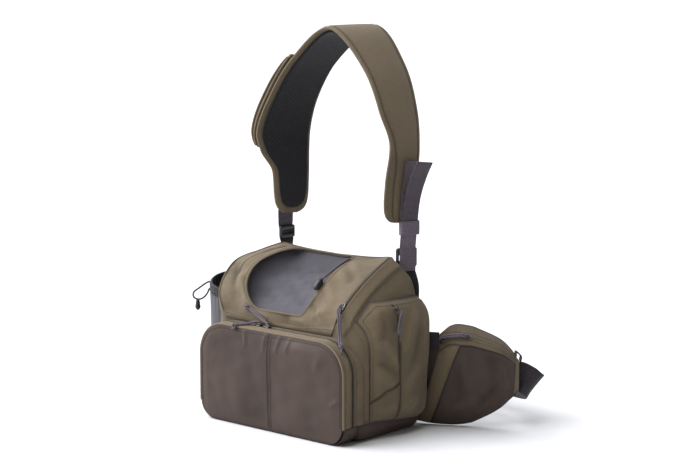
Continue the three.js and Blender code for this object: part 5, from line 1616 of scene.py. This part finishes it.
def knot_line(place, along, size):
    """A small overhand knot drawn tight round a cord."""
    wide = unit(np.cross(along, (0.2, 0.9, 0.3)))
    t = np.linspace(0, FULL_TURN, 60)[:, None]
    a, b, c = np.sin(t) + 2 * np.sin(2 * t), np.cos(t) - 2 * np.cos(2 * t), -np.sin(3 * t)
    deep = np.cross(along, wide)
    return place + size * (a * along * KNOT_TIGHT + b * wide * 0.3 + c * deep * KNOT_TIGHT)


for name, (facing, points) in PULLS.items():
    route = Route(points)
    line = route.at(CORD_SHARES)
    made = tube(name + "_cord", CORD, line, PULL / 2, 12, name)
    at = np.array(KNOT_SHARE)
    tied = knot_line(route.at(at), route.tangent_at(at), KNOT_SIZE)
    tie = tube(name + "_knot", CORD, tied, KNOT_SIZE * KNOT_TIGHT, 8)
    sideways = unit(np.cross(route.tangent_at(CORD_SHARES), facing))
    second = line + sideways * (STRAND_APART * free(CORD_SHARES, 5))[:, None]
    strand = tube(name + "_strand", CORD, second[3:-4], STRAND_RADIUS, 10)

# Elastic of the sleeve's hem, with its toggle
ELASTIC_WIDTH = 2.6
HEM_LOOP = [
    (-206.6, 6.2, 172), (-209.4, 2.6, 169.8), (-216, -4.6, 163), (-221.6, -10.4, 156.6),
    (-221.8, -10.8, 150.4), (-218, -7, 146.4), (-212.6, -2.2, 147.6), (-208.4, 2.6, 153.4),
    (-206.6, 6.4, 161),
]
TOGGLE_HEIGHTS = np.array([145.2, 144.6, 143, 140, 136, 134, 133.2])
TOGGLE_SIZES = [2.0, 2.6, 2.9, 3.2, 3.9, 3.9, 3.0]
hem_route = Route(HEM_LOOP)
hem_line = hem_route.at(even(40))
hem_cord = tube("sleeve_elastic", ELASTIC, hem_line, ELASTIC_WIDTH / 2, 12, "sleeve_cord")
toggle_line = vec(-217.4, -6.4, TOGGLE_HEIGHTS)
toggle = tube("sleeve_toggle_body", PLASTIC, toggle_line, TOGGLE_SIZES, 16, "sleeve_toggle")

# Elastic beside the trough's mouth and its barrel lock
LOCK_X, LOCK_SHARE, LOCK_HALF, BARREL_RADIUS, BARREL_HALF = 41.0, 0.74, 7.5, 4.6, 6.0
lock_place, lock_ahead, lock_behind = (lid_point(LOCK_X, LOCK_SHARE + step) for step in (0, -0.024, 0.024))
lock_along = unit(lock_ahead - lock_behind)
lock_up = unit(np.cross(lock_along, -RIGHTWARD))
lock_up = lock_up if lock_up[2] > 0 else -lock_up
lock_middle = lock_place + lock_up * (BARREL_RADIUS + 2 * GAP)
barrel = np.linspace(-1, 1, 13)
barrel_size = BARREL_RADIUS - 0.9 * np.abs(barrel) ** 6 - 0.25 * (np.cos(barrel * 9) > 0.7)
barrel_line = lock_middle + lock_along * (barrel * BARREL_HALF)[:, None]
tube("recess_lock_body", PLASTIC, barrel_line, barrel_size, 20, "recess_cord_lock")
lock_end = lock_middle + lock_along * (LOCK_HALF + 3 * GAP)
recess_route = Route([lock_end, (42, -4, 216.6), (43, 8, 222.4), (44, 20, 227), (45, 30, 230)])
tube("recess_elastic", RECESS_CORD, recess_route.at(even(40)), PULL / 2, 12, "recess_cord")


# Stitching
def panel_place(x, z):
    up = clamp((z - PANEL_FOOT) / PANEL_HEIGHT)
    return 0.5 + 0.5 * x / (panel_half(POCKET_TOP * up) - PANEL_INSET), np.arccos(1 - 2 * up) / math.pi


def guard_line(leg):
    """The row of stitches along the guard's lower edge on one side of the body."""
    u = np.linspace(MARKS[leg], MARKS[leg + 1], 200)
    station = body_station(u)
    return u, 1 - (GUARD - 2) / (rim_point(station)[..., 2] - boot_top(station) - GAP)


panel_rim = pocket_point(np.linspace(0, OVER_TOP, 400), POCKET_FACE, 6.0)
stitch(panel, *panel_place(panel_rim[:, 0], panel_rim[:, 2]), DARK_STITCHES)
for x in (PANEL_SEAM_X - 3, PANEL_SEAM_X + 3):
    stitch(panel, *panel_place(np.full(200, x), np.linspace(6, 133, 200)), DARK_STITCHES)
for v in (0.07, 0.94):
    stitch(lid, even(700), v)
for leg in (0, 4):
    stitch(shell, *guard_line(leg))
for u in (0.035, 0.965):
    stitch(side_pocket, u, np.linspace(0.03, 0.97, 300))
stitch(side_pocket, np.linspace(0.035, 0.965, 300), 0.965)
for shift in (-2.4, 2.4):
    stitch(side_pocket, *side_place(np.linspace(14, 15, 200) + shift, np.linspace(128, 24, 200)))
    stitch(side_pocket, *side_place(np.linspace(-33, 13, 200), np.linspace(56, 74, 200) + shift))
for v in (0.22, 0.8):
    stitch(hem, even(300), v, DARK_STITCHES)
stitch(welt, even(500), 0.8)
stitch(gusset, even(500), 0.25)
for u in (0.08, 0.92):
    stitch(wing_band, u, np.linspace(0.02, 0.98, 200))
for v in (0.3, 0.64):
    stitch(wing_gusset, np.linspace(0.02, 0.98, 200), v)
stitch(wing_panel, 0.03, np.linspace(0.03, 0.97, 200), DARK_STITCHES)
strap_run = np.linspace(0.012, 0.988, 1200)
for side in (-0.5, 0.5):
    share = 1 - groove_inset(strap_run, side) / reach_at(strap_run, side)
    stitch(strap_face, 0.5 + side * share, strap_run)
STITCHES.build("seam_stitches", THREAD)
DARK_STITCHES.build("dark_seam_stitches", DARK_THREAD)

# Floor, light and backdrop
FLOOR_SIZE, FLOOR_DARK, FLOOR_LIGHT = 120.0, 0.61, 0.63
WORLD_COLOR, WORLD_STRENGTH = (1.0, 0.97, 0.93, 1), 0.235
SUN_COLOR = (0.97, 0.99, 1.04)
bpy.ops.mesh.primitive_plane_add(size=FLOOR_SIZE, location=(0, 0, 0))
floor = bpy.context.object
floor.name = "floor"
paper = Shader("floor_paper", Roughness=0.9, Specular_IOR_Level=0.1)
paper_tone = paper.ramp(paper.noise(paper.place(), 30.0, 3.0), 0.3, FLOOR_DARK, 0.7, FLOOR_LIGHT)
paper.tree.links.new(paper_tone, paper.bsdf.inputs["Base Color"])
floor.data.materials.append(paper.material)

world = bpy.data.worlds.new("studio")
scene.world = world
world.use_nodes = True
backdrop = world.node_tree.nodes["Background"].inputs
backdrop["Color"].default_value, backdrop["Strength"].default_value = WORLD_COLOR, WORLD_STRENGTH


def sun(name, source, angle, strength):
    """Even, slightly cool light from a wide patch of sky around a direction."""
    light = bpy.data.lights.new(name, "SUN")
    light.angle, light.energy, light.color = math.radians(angle), strength, SUN_COLOR
    put(name, light, source, -Vector(source))


sun("key", (-0.5, -0.6, 0.62), 40, 1.7)
sun("top", (-0.62, -0.32, 1.0), 94, 6.2)
scene.view_settings.view_transform = "Standard"
